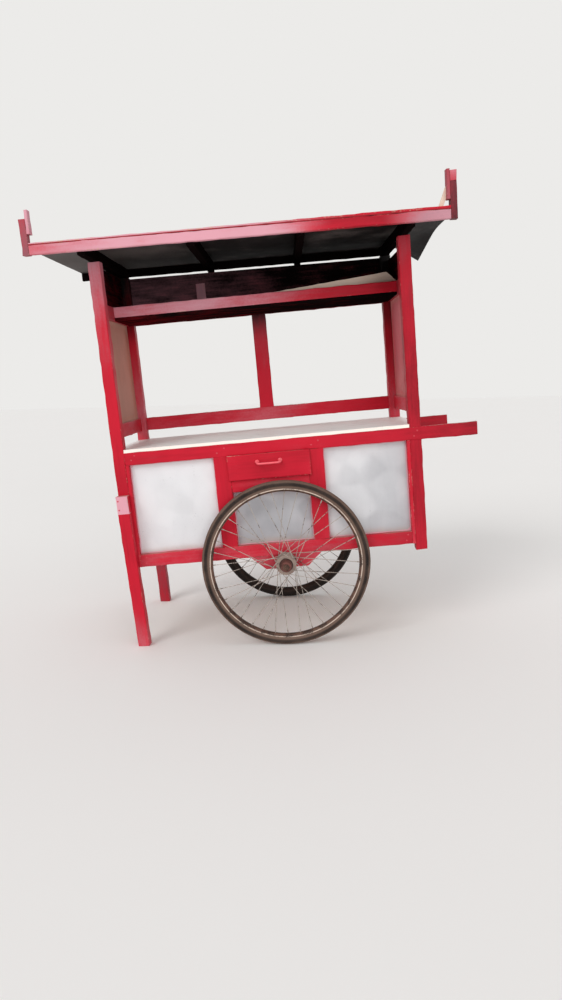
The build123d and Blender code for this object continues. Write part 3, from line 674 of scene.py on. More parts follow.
def solids_of(piece):
    """The piece's separate solids, each its own object, from left to right, then near to far, then foot to top."""
    edit(piece)
    bpy.ops.mesh.separate(type="LOOSE")
    close()
    return sorted(bpy.context.selected_objects, key=lambda solid: tuple(round(x, 3) for x in limits(solid)[0]))


def limits(piece):
    """Lowest and highest place of a piece along, across and up the cart."""
    places = [world_to_cart @ vertex.co for vertex in piece.data.vertices]
    return [Vector([choose(place[axis] for place in places) for axis in range(3)]) for choose in (min, max)]


def inset_of(place, low, high, axes):
    """How far a place lies inside its limits along some axes."""
    return min(min(place[axis] - low[axis], high[axis] - place[axis]) for axis in axes)


def joined(pieces, name):
    """The pieces as one object, with the place in its mesh."""
    bpy.ops.object.select_all(action="DESELECT")
    for piece in pieces:
        piece.select_set(True)
    bpy.context.view_layer.objects.active = pieces[0]
    if len(pieces) > 1:
        bpy.ops.object.join()
    whole = bpy.context.view_layer.objects.active
    whole.name = name
    return whole


def copied(source, matrix, name):
    """A copy of a piece with its own mesh, moved by the matrix."""
    copy = bpy.data.objects.new(name, source.data.copy())
    copy.data.transform(matrix)
    bpy.context.collection.objects.link(copy)
    return copy


def cut_rows(axis, places):
    """In edit mode, cuts rows of points right round the piece at places along one axis of the cart."""
    direction = cart_to_world.to_3x3().col[axis]
    for place in places:
        point = Vector((0, 0, 0))
        point[axis] = place
        bpy.ops.mesh.select_all(action="SELECT")
        bpy.ops.mesh.bisect(plane_co=cart_to_world @ point, plane_no=direction)


def even_places(low, high, step, margin=0.0):
    """Evenly spaced places between two ends, and one a margin in from each end."""
    count = max(1, ceil((high - low) / step))
    places = [low + (high - low) * number / count for number in range(1, count)]
    return ([low + margin] if margin else []) + places + ([high - margin] if margin else [])


def cut_grid(piece, axes, step):
    """Cuts a piece into squares along two axes, and tells its lowest and highest place."""
    low, high = limits(piece)
    edit(piece)
    for axis in axes:
        cut_rows(axis, even_places(low[axis], high[axis], step))
    close()
    return low, high


def displaced(piece, name, size, depth, settings=None, kind="CLOUDS"):
    """Moves the piece's surface by a texture, with any settings of the modifier and texture."""
    texture = bpy.data.textures.new(name, kind)
    texture.noise_scale = size
    only(piece)
    modifier = piece.modifiers.new(name, "DISPLACE")
    modifier.texture = texture
    modifier.texture_coords = "LOCAL"
    modifier.strength = depth
    for setting, value in (settings or {}).items():
        setattr(texture if hasattr(texture, setting) else modifier, setting, value)
    bpy.ops.object.modifier_apply(modifier=name)


def smoothed(piece, degrees=40):
    """Shades a piece smooth, apart from the edges that turn by more than this."""
    only(piece)
    bpy.ops.object.shade_smooth_by_angle(angle=radians(degrees))


def held_in_box(piece):
    """Moves any point that a wave has pushed out of the CAD model's box back to its side."""
    low, high = cad_limits
    for vertex in piece.data.vertices:
        vertex.co = [min(max(vertex.co[axis], low[axis]), high[axis]) for axis in range(3)]


def dressed(piece, finish, nodes=(), body=None):
    """Gives a piece its finish and the body that it rides on, and hides the CAD nodes that it stands for."""
    held_in_box(piece)
    piece.data.materials.clear()
    piece.data.materials.append(bpy.data.materials[finish])
    source = frame["nodes"][nodes[0]] if nodes else None
    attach(piece, body or source["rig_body"])
    if nodes:
        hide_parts(*nodes)


def turned(name, profile, centre, steps):
    """(Radius, offset) points spun about the axle's direction, in a ring where they start off that line."""
    first = profile[0]
    bpy.ops.object.select_all(action="DESELECT")
    bpy.ops.mesh.primitive_plane_add(size=WELD, location=centre + Vector((*first, 0)))
    piece = bpy.context.object
    piece.name = name
    bpy.ops.object.transform_apply(location=True, rotation=True, scale=True)
    edit(piece)
    bpy.ops.mesh.select_mode(type="VERT")
    bpy.ops.mesh.merge(type="CENTER")
    points = [*profile, first] if first[0] > 0 else profile
    for start, end in zip(points, points[1:]):
        extrude(end[0] - start[0], end[1] - start[1], 0.0)
    bpy.ops.mesh.select_all(action="SELECT")
    bpy.ops.mesh.spin(steps=steps, angle=2 * pi, center=centre, axis=(0, 1, 0))
    close_whole()
    return piece


def float_layer(piece, name, values):
    layer = piece.data.attributes.new(name, "FLOAT", "POINT")
    layer.data.foreach_set("value", values)


# Timbers

# Each row has a node, its fade and its soot. The fade lightens a timber and is partly painted light on the front
# fascia, the far window rail and the loose batten; the soot darkens it and is painted shade towards the handle end
# and under the roof. A tuple has values at even distances from a timber's left, near or lower end, one number is the
# same all along it, and a list has the values of the node's solids in turn.
timber_table = {
    "worn_red_paint": (
        ("post_near_left", (0.12, 0.06, 0.0, 0.03, 0.15, 0.35, 0.7), (0.05, 0.05, 0.15, 0.22, 0.28)),
        # Soot rising towards the handle end, here, on the near top and bottom rails and on the front fascia, is
        # painted shade
        ("post_near_right", (0.12, 0.02, 0.0, 0.0, 0.1, 0.25), (0.37, 0.43, 0.5, 0.42, 0.32)),
        ("post_far_left", (0.1, 0.1, 0.45, 0.1, 0.0), (0.3, 0.3, 0.25, 0.35, 1.1)),
        ("post_far_right", (0.1, 0.1, 0.3, 0.1, 0.0), (0.3, 0.3, 0.3, 0.5, 1.1)),
        ("leg_near", [(0.36, 0.12, 0.03, 0.0), 0.9], [(0.22, 0.26, 0.26), 0.1]),
        ("leg_far", (0.3, 0.2, 0.2), (0.48, 0.43, 0.43)),
        ("top_rail_near", (0.12, 0.05, 0.08, 0.1, 0.1, 0.06, 0.1), (0.2, 0.12, 0.12, 0.32, 0.5)),
        ("top_rail_far", (0.1, 0.1, 0.15), (0.1, 0.2, 0.4)),
        ("bottom_rail_near", (0.25, 0.22, 0.25, 0.16), (0.1, 0.05, 0.12, 0.4)),
        ("bottom_rail_far", 0.2, 0.2),
        ("end_rails", (0.2, 0.15, 0.2), 0.1),
        ("stiles_near", [(0.1, 0.02, 0.0), (0.15, 0.12, 0.1)], [0.0, (0.12, 0.05)]),
        ("stiles_far", 0.1, 0.1),
        ("post_battens_near", (0.2, 0.12, 0.15), 0.05),
        ("post_battens_far", (0.2, 0.1), 0.1),
        ("drawer_rail", (0.15, 0.18, 0.15), 0.05),
        ("drawer_front", (0.12, 0.04, 0.02, 0.1), 0.0),
        # The fade of the far window rail is painted light on a face that the roof shades
        ("window_rail_far", (0.24, 0.2, 0.32, 0.16, 0.1), 0.0),
        ("window_stile_far", (0.05, 0.15, 0.4), (0.0, 0.05, 0.2, 0.35, 0.85)),
        ("window_head_far", 0.1, 0.7),
        ("window_rails_end", (0.2, 0.3, 0.15), (0.15, 0.2)),
        ("shelf_rails_end", (0.3, 0.2), (0.35, 0.6)),
        ("shelf_beam", (0.62, 0.66, 0.66, 0.55, 0.3, 0.1, 0.05), (0.15, 0.1, 0.1, 0.15, 0.18)),
        ("back_batten", 0.8, (0.35, 0.4)),
        # The fade along the front fascia also paints the glare on it
        ("fascia_front", (0.5, 0.6, 0.78, 0.92, 1.0, 1.0, 0.95, 0.85, 0.35, 0.0, 0.05, 0.6, 0.95),
         (0.22, 0.14, 0.1, 0.15, 0.35, 0.4)),
        # Soot on the timbers under the roof, here, on the rafters, the upper panels, the shelf board and the far
        # window head, also paints shade
        ("fascia_back", 0.1, (1.2, 1.3)),
        ("rafters", 0.1, (1.3, 1.2)),
        ("corner_strips", [(0.42, 0.4), (0.38, 0.33)], [(0.48, 0.46), (0.76, 0.66)]),
        ("corner_cleats", [(0.7, 0.8, 1.0), (0.52, 0.48)], [(0.25, 0.2), 0.52]),
        ("corner_block", (0.3, 0.5), (0.3, 0.2)),
        ("roof_edge_strip", (0.95, 1.0, 0.9, 0.9, 0.3, 0.1, 0.15), (0.0, 0.0, 0.1, 0.3)),
        ("axle_boards", (0.3, 0.25, 0.3), (0.25, 0.2)),
        ("upper_panel_far", (0.9, 0.7, 0.4), (0.75, 0.82, 0.95, 1.0)),
        ("upper_panels_end", 0.1, (0.9, 0.95)),
        ("shelf_board", 0.0, (0.85, 1.1)),
    ),
    "bare_sawn_wood": (
        # The fade of the loose batten is painted light on its shaded faces
        ("loose_batten", (0.95, 1.0), 0.0),
        ("corner_stick", 0.9, 0.0),
        ("cabinet_floor", 0.0, 0.5),
        ("drawer_box", 0.0, 0.2),
        ("drawer_runners", 0.0, 0.3),
    ),
    "scuffed_counter_paint": (("tabletop", 0.0, 0.0),),
}
# Red timbers that soot covers, whose soot values also paint the shade under the roof, so that their paint has no
# shine left
smoked_shaded_timbers = (
    "window_head_far", "fascia_back", "rafters", "upper_panel_far", "upper_panels_end", "shelf_board"
)
# Height up the cart at which a timber is pieced together from two lengths
pieced_timbers = {"leg_near": 0.244}
# The most of a timber's thickness that a worn band, a wave and a chip may take
band_share, wave_share, chip_share = 0.28, 0.06, 0.15
near_face_depth = 0.006
sharp_edge = radians(20)


def values_for(values, number):
    """The row of values along one of a node's solids, from its cell of the timber table."""
    if isinstance(values, list):
        values = values[number % len(values)]
    return values if isinstance(values, tuple) else (values, values)


def lengths_of(node, joint):
    """A node's timber as its two lengths, the lower one first, parted at a height up the cart."""
    lengths = []
    for other in ("clear_outer", "clear_inner"):
        length = welded_copy(node, node + "_length")
        edit(length)
        joint_place, upwards = cart_to_world @ Vector((0, 0, joint)), cart_to_world.to_3x3().col[UP]
        bpy.ops.mesh.bisect(plane_co=joint_place, plane_no=upwards, use_fill=True, **{other: True})
        close()
        lengths.append(length)
    return lengths


def along_list(values, share):
    """The value at a share of the way along evenly spaced values."""
    place = min(max(share, 0.0), 1.0) * (len(values) - 1)
    first = min(int(place), len(values) - 2)
    return values[first] + (values[first + 1] - values[first]) * (place - first)


def weather(solid, wear, fade_and_light, soot_and_shade, shift):
    """Cuts a timber into rows, chips its edges and notes its grain, worn edges, fading and soot on its points; the
    fading and soot in places also paint light and shade.
    """
    low, high = limits(solid)
    sizes = high - low
    grain = max(range(3), key=lambda axis: sizes[axis])
    thin = min(sizes)
    band = min(wear.edge_band, thin * band_share)

    def takes_band(face):
        return face.calc_area() / max(edge.calc_length() for edge in face.edges) > band * 2.1

    edit(solid)
    if pick_faces(solid, takes_band):
        bpy.ops.mesh.inset(thickness=band, use_individual=True, use_even_offset=True)
    cut_rows(grain, even_places(low[grain], high[grain], wear.cut_step, band))
    middle = sorted(range(3), key=lambda axis: sizes[axis])[1]
    if sizes[middle] > 4 * wear.cut_step:
        cut_rows(middle, even_places(low[middle], high[middle], wear.cut_step * 1.5))
    mesh = bmesh.from_edit_mesh(solid.data)
    worn = [
        any(len(edge.link_faces) == 2 and edge.calc_face_angle() > sharp_edge for edge in vertex.link_edges)
        for vertex in mesh.verts
    ]
    close()
    others = [axis for axis in range(3) if axis != grain]
    grain_places, shares = [], []
    for vertex in solid.data.vertices:
        place = world_to_cart @ vertex.co
        grain_places += [place[axis] + move for axis, move in zip((grain, *others), shift)]
        shares.append((place[grain] - low[grain]) / sizes[grain])
    layer = solid.data.attributes.new("grain", "FLOAT_VECTOR", "POINT")
    layer.data.foreach_set("vector", grain_places)
    float_layer(solid, "arris", [float(flag) for flag in worn])
    float_layer(solid, "fade_and_light", [along_list(fade_and_light, share) for share in shares])
    float_layer(solid, "soot_and_shade", [along_list(soot_and_shade, share) for share in shares])
    group = solid.vertex_groups.new(name="worn_edges")
    group.add([number for number, flag in enumerate(worn) if flag], 1.0, "REPLACE")
    displaced(solid, "sawn_waves", wear.wave_size, min(wear.wave_depth, thin * wave_share))
    chips = {"mid_level": 1.0, "contrast": 2.2, "intensity": 1.5, "vertex_group": "worn_edges"}
    displaced(solid, "edge_chips", wear.chip_size, min(wear.chip_depth, thin * chip_share), chips)
    solid.vertex_groups.clear()
    smoothed(solid, 50)


def bleach_near_face_alone(solid):
    """Keeps the fading of a timber's near face and leaves its other faces red."""
    near = limits(solid)[0][ACROSS]
    for vertex, fade_and_light in zip(solid.data.vertices, solid.data.attributes["fade_and_light"].data):
        if (world_to_cart @ vertex.co)[ACROSS] > near + near_face_depth:
            fade_and_light.value = 0.1


class CART_OT_timbers(bpy.types.Operator):
    """Makes every board and post of the cart as worn sawn timber, in place of its plain solid"""

    bl_idname = "cart.timbers"
    bl_label = "Worn timbers"

    def execute(self, context):
        wear = context.scene.food_cart.wear
        shifts = random.Random(5)
        rows = [(finish, *row) for finish, rows in timber_table.items() for row in rows]
        for finish, node, fades_and_lights, soots_and_shades in rows:
            if node in pieced_timbers:
                solids = lengths_of(node, pieced_timbers[node])
            else:
                solids = solids_of(welded_copy(node, node + "_worn"))
            for number, solid in enumerate(solids):
                shift = [shifts.uniform(0, 9) for axis in range(3)]
                weather(solid, wear, values_for(fades_and_lights, number), values_for(soots_and_shades, number), shift)
            if node in pieced_timbers:
                bleach_near_face_alone(solids[-1])
            finish = "smoked_shaded_red_paint" if node in smoked_shaded_timbers else finish
            dressed(joined(solids, node + "_worn"), finish, [node])
        return {"FINISHED"}


# Sheets and panes

sheet_table = (
    # node, shade along each of its sheets from left to right
    ("panel_near_left", (0.0, 0.0, 0.02, 0.05)),
    ("panel_near_middle", (0.58, 0.55, 0.58)),
    ("panel_near_right", (0.12, 0.22, 0.38, 0.5)),
    ("panels_far", (0.2, 0.25, 0.3)),
    ("panels_end", (0.2, 0.2)),
)
cover_table = (
    # frame pieces that cover the sheets' edges along, across and up the cart
    ("post_near_left", "post_near_right", "post_battens_near", "stiles_near"),
    ("post_near_left", "post_far_left"),
    ("bottom_rail_near", "top_rail_near", "drawer_rail"),
)


def cover_ranges(nodes, axis):
    """Where the separate solids of some CAD nodes lie along one axis of the cart."""
    ranges = []
    for node in nodes:
        for solid in solids_of(welded_copy(node, "measure")):
            low, high = limits(solid)
            ranges.append((low[axis], high[axis]))
            bpy.data.objects.remove(solid)
    return ranges


def opening_limits(covers, low, high):
    """Where the opening in front of a sheet begins and ends, between the frame pieces that cover its edges."""
    reach, least = 0.045, 0.05  # farthest that a cover stands in from its edge, and the least width it leaves
    begins = [end for start, end in covers if start < low + reach and low < end < high - least]
    ends = [start for start, end in covers if end > high - reach and low + least < start < high]
    return max([low, *begins]), min([high, *ends])


def dent(sheet, wear, shades, covers):
    """Cuts a sheet into a grid, dents it between its frame and notes its shade and distance from the frame."""
    stiff, low_shade = 0.05, 0.12  # how far in from the frame it stays flatter, and how much darker its foot is
    low, high = limits(sheet)
    sizes = high - low
    thin = min(range(3), key=lambda axis: sizes[axis])
    broad = [axis for axis in range(3) if axis != thin]
    cut_grid(sheet, broad, wear.sheet_step)
    open_low, open_high = zip(*(opening_limits(covers[axis], low[axis], high[axis]) for axis in range(3)))
    margins, shade = [], []
    group = sheet.vertex_groups.new(name="free")
    for vertex in sheet.data.vertices:
        place = world_to_cart @ vertex.co
        inset = inset_of(place, open_low, open_high, broad)
        margins.append(inset)
        lower = 1.0 - (place[UP] - low[UP]) / sizes[UP]
        side_share = (place[broad[0]] - low[broad[0]]) / sizes[broad[0]]
        shade.append(along_list(shades, side_share) + low_shade * lower)
        group.add([vertex.index], min(max(inset / stiff, 0.0), 1.0), "REPLACE")
    float_layer(sheet, "margin", margins)
    float_layer(sheet, "shade", shade)
    settings = {"vertex_group": "free", "direction": "XYZ"[thin]}
    displaced(sheet, "broad_dents", wear.dent_size, wear.dent_depth, settings)
    displaced(sheet, "creases", wear.crease_size, wear.crease_depth, settings, "VORONOI")
    displaced(sheet, "small_dents", wear.dent_size / 3.5, wear.dent_depth / 6, settings)
    sheet.vertex_groups.clear()
    smoothed(sheet, 50)


class CART_OT_sheets(bpy.types.Operator):
    """Makes the sheet panels behind the frames, with soft dents, grime and painted shade"""

    bl_idname = "cart.sheets"
    bl_label = "Dented sheets"

    def execute(self, context):
        wear = context.scene.food_cart.wear
        covers = [cover_ranges(nodes, axis) for axis, nodes in enumerate(cover_table)]
        for node, shades in sheet_table:
            sheets = solids_of(welded_copy(node, node + "_dented"))
            for sheet in sheets:
                dent(sheet, wear, shades, covers)
            dressed(joined(sheets, node + "_dented"), "scuffed_white_sheet", [node])
        return {"FINISHED"}


class CART_OT_panes(bpy.types.Operator):
    """Makes the dusty panes of the two ends"""

    bl_idname = "cart.panes"
    bl_label = "Dusty panes"

    def execute(self, context):
        broad, step = (ACROSS, UP), 0.06
        for node in ("pane_left", "pane_right"):
            pane = welded_copy(node, node + "_dusty")
            low, high = cut_grid(pane, broad, step)
            places = [world_to_cart @ vertex.co for vertex in pane.data.vertices]
            float_layer(pane, "margin", [inset_of(place, low, high, broad) for place in places])
            smoothed(pane, 30)
            dressed(pane, "dusty_" + node, [node])
        return {"FINISHED"}


class CART_OT_roof(bpy.types.Operator):
    """Makes the roof sheet, slightly buckled between its rafters"""

    bl_idname = "cart.roof"
    bl_label = "Roof sheet"

    def execute(self, context):
        step, buckle_size, buckle_depth = 0.03, 0.3, 0.002
        roof = welded_copy("roof_sheet", "roof_sheet_buckled")
        cut_grid(roof, (ALONG, ACROSS), step)
        displaced(roof, "buckles", buckle_size, buckle_depth, {"direction": "Z"})
        smoothed(roof, 30)
        dressed(roof, "smoked_shaded_roof_sheet", ["roof_sheet"])
        return {"FINISHED"}


# Wheels


def wheel_centres(wheel):
    """Side, direction outwards and middle of each wheel."""
    post_low, post_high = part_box("post_near_left")[0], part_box("post_far_left")[1]
    return (
        ("near", -1, Vector((axle_centre.x, post_low.y - wheel.standoff, axle_centre.z))),
        ("far", 1, Vector((axle_centre.x, post_high.y + wheel.standoff, axle_centre.z))),
    )


def tyre_profile(wheel):
    """Half round over the seat, with a groove either side of the middle rib and of each shoulder rib."""
    flank, faces, foot = radians(130), 26, 0.0145
    grooves = (8, 11, 15, 18)
    points = [(seat_of(wheel), foot), (seat_of(wheel), -foot)]
    for face in range(faces + 1):
        turn = flank * (2 * face / faces - 1)
        depth = wheel.groove_depth if face in grooves else 0.0
        reach = wheel.tyre_radius - wheel.tyre_depth / 2 * (1 - cos(turn)) - depth * cos(turn)
        points.append((reach, (wheel.tyre_width / 2 - depth) * sin(turn)))
    return points


def tread(piece, centre, wheel):
    """Sinks every third block of the shoulder ribs."""
    rib_start, rib_end, rib_depth = 0.0035, 0.0125, 0.006
    slope, sink = 0.0007, 0.0011

    def sunk_block(face):
        out = face.calc_center_median() - centre
        block = int((atan2(out.z, out.x) + pi) / (2 * pi) * wheel.tread_blocks)
        reach = Vector((out.x, 0, out.z)).length
        return block % 3 == 0 and rib_start < abs(out.y) < rib_end and reach > wheel.tyre_radius - rib_depth

    edit(piece)
    pick_faces(piece, sunk_block)
    bpy.ops.mesh.inset(thickness=slope, use_individual=False)
    bpy.ops.transform.shrink_fatten(value=-sink)
    close()


class CART_OT_tyres(bpy.types.Operator):
    """Makes the two tyres with their ribbed tread"""

    bl_idname = "cart.tyres"
    bl_label = "Tyres"

    def execute(self, context):
        wheel = context.scene.food_cart.wheel
        for side, _, centre in wheel_centres(wheel):
            tyre = turned(f"tyre_{side}_ribbed", tyre_profile(wheel), centre, wheel.tread_blocks)
            tread(tyre, centre, wheel)
            smoothed(tyre)
            dressed(tyre, f"tyre_rubber_{side}", [f"tyre_{side}"])
        return {"FINISHED"}


class CART_OT_rims(bpy.types.Operator):
    """Makes the two rims with rolled lips"""

    bl_idname = "cart.rims"
    bl_label = "Rims"

    def execute(self, context):
        wheel = context.scene.food_cart.wheel
        seat, lip = seat_of(wheel), 0.0022
        half, half_well = wheel.rim_width / 2, wheel.well_width / 2
        half_profile = [
            (seat - 0.0006, half - lip),
            (seat, half - lip / 2),
            (seat - lip / 2, half),
            (seat - lip * 1.6, half),
            (seat - lip * 2.2, half - lip * 0.7),
            (seat - wheel.rim_depth * 0.62, half * 0.78),
            (seat - wheel.rim_depth * 0.88, half_well * 1.15),
            (seat - wheel.rim_depth, half_well * 0.7),
        ]
        profile = half_profile + [(radius, -offset) for radius, offset in reversed(half_profile)]
        for side, _, centre in wheel_centres(wheel):
            rim = turned(f"rim_{side}_rolled", profile, centre, 120)
            smoothed(rim)
            dressed(rim, "rubbed_lit_rim_near" if side == "near" else "sooty_shaded_rim_far", [f"rim_{side}"])
        return {"FINISHED"}


class CART_OT_hubs(bpy.types.Operator):
    """Makes the two flanged hubs with their dust caps"""

    bl_idname = "cart.hubs"
    bl_label = "Hubs"

    def execute(self, context):
        wheel = context.scene.food_cart.wheel
        soft = 0.0008
        barrel, cap, end = wheel.barrel, wheel.cap, wheel.hub_outer
        waist = barrel - 0.002
        inner = wheel.flange_offset - wheel.flange_thickness / 2
        outer = wheel.flange_offset + wheel.flange_thickness / 2

        def flange(first, last):
            """Out and back over a flange between two offsets, with its rim eased."""
            return [
                (barrel, first),
                (wheel.flange - soft, first),
                (wheel.flange, first + soft),
                (wheel.flange, last - soft),
                (wheel.flange - soft, last),
                (cap + 0.004, last),
            ]

        profile = [
            (wheel.bore, -wheel.hub_inner),
            (barrel - soft, -wheel.hub_inner),
            (barrel, -wheel.hub_inner + soft),
            *flange(-outer, -inner),
            (barrel, -inner + 0.003),
            (waist, -inner + 0.008),
            (waist, inner - 0.008),
            (barrel, inner - 0.003),
            *flange(inner, outer),
            (cap + 0.0005, outer + 0.0006),
            (cap, outer + 0.002),
            (cap, outer + 0.012),
            (cap - 0.0012, outer + 0.0135),
            (cap, outer + 0.015),
            (cap, end - 0.008),
            (cap - 0.002, end - 0.003),
            (barrel, end),
            (wheel.bore, end),
        ]
        for side, outwards, centre in wheel_centres(wheel):
            placed = [(radius, offset * outwards) for radius, offset in profile]
            hub = turned(f"hub_{side}_flanged", placed, centre, 64)
            smoothed(hub)
            dressed(hub, f"dusty_hub_{side}", [f"hub_{side}"])
        return {"FINISHED"}


class CART_OT_spokes(bpy.types.Operator):
    """Laces both wheels with crossed wire spokes and their nipples"""

    bl_idname = "cart.spokes"
    bl_label = "Spokes"

    def execute(self, context):
        wheel = context.scene.food_cart.wheel
        gap = 0.0003  # between a nipple and the rim
        rim_reach = seat_of(wheel) - wheel.rim_depth - gap
        spoke = self.one_spoke(wheel)
        signs = (1, 1, -1, -1)
        for side, _, centre in wheel_centres(wheel):
            spokes = []
            for number in range(wheel.spoke_count):
                rim_turn = 2 * pi * number / wheel.spoke_count
                hub_turn = rim_turn + signs[number % 4] * wheel.spoke_cross
                flange = 1 if number % 2 else -1
                offset = wheel.flange_offset * flange + wheel.spoke_lace * signs[number % 4]
                start = self.round_place(centre, wheel.spoke_circle, hub_turn, offset)
                end = self.round_place(centre, rim_reach, rim_turn, wheel.spoke_dish * flange)
                run = end - start
                turn = run.to_track_quat("Z", "Y").to_matrix().to_4x4()
                matrix = Matrix.Translation(start) @ turn @ Matrix.Diagonal((1, 1, run.length, 1))
                spokes.append(copied(spoke, matrix, "spoke"))
            laced = joined(spokes, f"spokes_{side}_laced")
            smoothed(laced)
            dressed(laced, "wire_spokes", [f"spokes_{side}"])
        bpy.data.objects.remove(spoke)
        return {"FINISHED"}

    def round_place(self, centre, radius, turn, offset):
        """A place at a radius and a turn about a wheel's centre."""
        return centre + Vector((radius * cos(turn), offset, radius * sin(turn)))

    def one_spoke(self, wheel):
        """A spoke one unit long up from the floor's middle: a flat head, the wire and the nipple."""
        length = seat_of(wheel) - wheel.rim_depth
        head, nipple, head_width = 0.0012 / length, wheel.nipple_length / length, 1.7
        bpy.ops.mesh.primitive_circle_add(vertices=8, radius=wheel.spoke_radius * head_width, fill_type="NGON")
        spoke = bpy.context.object
        edit(spoke)
        sections = (
            # run up, width after it
            (head, 1.0),
            (0.0, 1 / head_width),
            (1.0 - nipple - head, 1.0),
            (0.0, wheel.nipple_radius / wheel.spoke_radius),
            (nipple, 1.0),
        )
        for run, width in sections:
            extrude(0, 0, run)
            bpy.ops.transform.resize(value=(width, width, 1))
        close_whole()
        return spoke


class CART_OT_axle(bpy.types.Operator):
    """Eases the edges of the axle and its nuts"""

    bl_idname = "cart.axle"
    bl_label = "Axle and nuts"

    def execute(self, context):
        ease = 0.0006
        for node in ("axle", "axle_nuts"):
            piece = welded_copy(node, node + "_rusty")
            modifier = piece.modifiers.new("eased", "BEVEL")
            modifier.width, modifier.segments, modifier.limit_method = ease, 2, "ANGLE"
            only(piece)
            bpy.ops.object.modifier_apply(modifier="eased")
            smoothed(piece)
            dressed(piece, "rusty_axle", [node])
        return {"FINISHED"}


# Fittings


class CART_OT_pull(bpy.types.Operator):
    """Bends the drawer's bow pull from rod, between two round foot plates"""

    bl_idname = "cart.pull"
    bl_label = "Drawer pull"

    def execute(self, context):
        length, reach, droop, drop = 0.096, 0.028, radians(14), 0.009
        rod, bend, sunk = 0.0052, 0.014, 0.0025
        foot, rim, thickness = 0.009, 0.003, 0.005
        low, high = limits(frame["nodes"]["drawer_pull"])
        face = limits(frame["nodes"]["drawer_front"])[0][ACROSS]
        place = cart_to_world @ Matrix.Translation(((low[ALONG] + high[ALONG]) / 2, face, high[UP] - drop))
        bpy.ops.object.select_all(action="DESELECT")
        bpy.ops.mesh.primitive_circle_add(
            vertices=14, radius=rod, fill_type="NGON", location=(-length / 2, sunk, 0), rotation=(radians(90), 0, 0)
        )
        pull = bpy.context.object
        bpy.ops.object.transform_apply(location=True, rotation=True, scale=True)
        edit(pull)
        corner, out = length / 2 - bend, bend - reach
        for move, along in (((0, out - sunk, 0), -corner), ((2 * corner, 0, 0), corner)):
            extrude(*move)
            bpy.ops.mesh.spin(steps=8, angle=radians(90), center=(along, out, 0), axis=(0, 0, -1))
        extrude(0, sunk - out, 0)
        close_whole()
        pull.data.transform(place @ Matrix.Rotation(droop, 4, "X"))
        feet = []
        profile = [(0.0, 0.0), (foot, 0.0), (foot, -rim), (foot - 0.002, -thickness), (0.0, -thickness)]
        for end in (-1, 1):
            plate = turned("foot", profile, Vector((end * length / 2, 0, 0)), 28)
            plate.data.transform(place)
            feet.append(plate)
        whole = joined([pull, *feet], "drawer_pull_bent")
        smoothed(whole)
        dressed(whole, "painted_pull", ["drawer_pull"])
        return {"FINISHED"}


nail_places = (
    # along, up, how far the face stands out from the near face of the frame
    (0.008, 0.300, 0.045), (0.009, 0.262, 0.045),
    (0.075, 0.462, 0.0), (0.090, 0.480, 0.0), (0.085, 0.014, 0.0), (0.088, 0.040, 0.0),
    (0.436, 0.460, 0.0), (0.468, 0.478, 0.0), (0.440, 0.020, 0.0), (0.466, 0.038, 0.0),
    (0.832, 0.460, 0.0), (0.862, 0.476, 0.0), (0.834, 0.022, 0.0), (0.862, 0.036, 0.0),
    (1.205, 0.016, 0.0), (1.212, 0.040, 0.0), (1.262, 0.458, 0.0), (1.276, 0.480, 0.0),
)


class CART_OT_nails(bpy.types.Operator):
    """Drives round-headed nails where the near side's rails, stiles and battens meet"""

    bl_idname = "cart.nails"
    bl_label = "Nails"

    def execute(self, context):
        head, dome, sunk, rim = 0.0034, 0.0012, 0.0006, 0.0002
        face = limits(frame["nodes"]["post_near_left"])[0][ACROSS]
        profile = [(0.0, sunk), (head, sunk), (head, -rim), (head * 0.6, -dome * 0.8), (0.0, -dome)]
        nail = turned("nail", profile, Vector((0, 0, 0)), 12)
        nails = [
            copied(nail, cart_to_world @ Matrix.Translation((along, face - out, up)), "nail")
            for along, up, out in nail_places
        ]
        bpy.data.objects.remove(nail)
        driven = joined(nails, "frame_nails")
        smoothed(driven)
        dressed(driven, "painted_nails", body="cart")
        return {"FINISHED"}


class CART_OT_finishes(bpy.types.Operator):
    """Mixes the cart's paints, woods, metals and rubber"""

    bl_idname = "cart.finishes"
    bl_label = "Finishes"

    def execute(self, context):
        cart = context.scene.food_cart
        paint, wheel = cart.paint, cart.wheel
        red_paint("worn_red_paint", DULL, paint)
        red_paint("smoked_shaded_red_paint", SMOKED_SHADED, paint)
        for mix in (bare_wood, counter_paint, white_sheet, roof_paint):
            mix(paint)
        # Each pane's tint also paints what the dusty glass reflects and lets through
        dusty_pane("dusty_pane_left", paint.pane_left, paint)
        dusty_pane("dusty_pane_right", paint.pane_right, paint)
        near, far = (centre for _, _, centre in wheel_centres(wheel))
        rubber("tyre_rubber_near", near, 1.0, paint, wheel)
        # The far tyre's low dust value also paints shade: it is a darker copy of the near tyre's rubber
        rubber("tyre_rubber_far", far, 0.15, paint, wheel)
        lipped_rim(near, paint, wheel)
        # The far rim is a darker copy of the steel: soot, and painted shade
        rusty_steel("sooty_shaded_rim_far", paint, 0.1, clean_and_lit=0.3)
        dusty_hub("dusty_hub_near", near, paint)
        dusty_hub("dusty_hub_far", far, paint)
        rusty_steel("rusty_axle", paint, 0.15)
        rusty_steel("wire_spokes", paint, 0.6)
        # The pull's lighter top and the nails' pink tops are painted highlights
        painted_steel("painted_pull", paint.pull, 0.95, paint)
        painted_steel("painted_nails", paint.pink, 0.1, paint)
        return {"FINISHED"}


# Stage


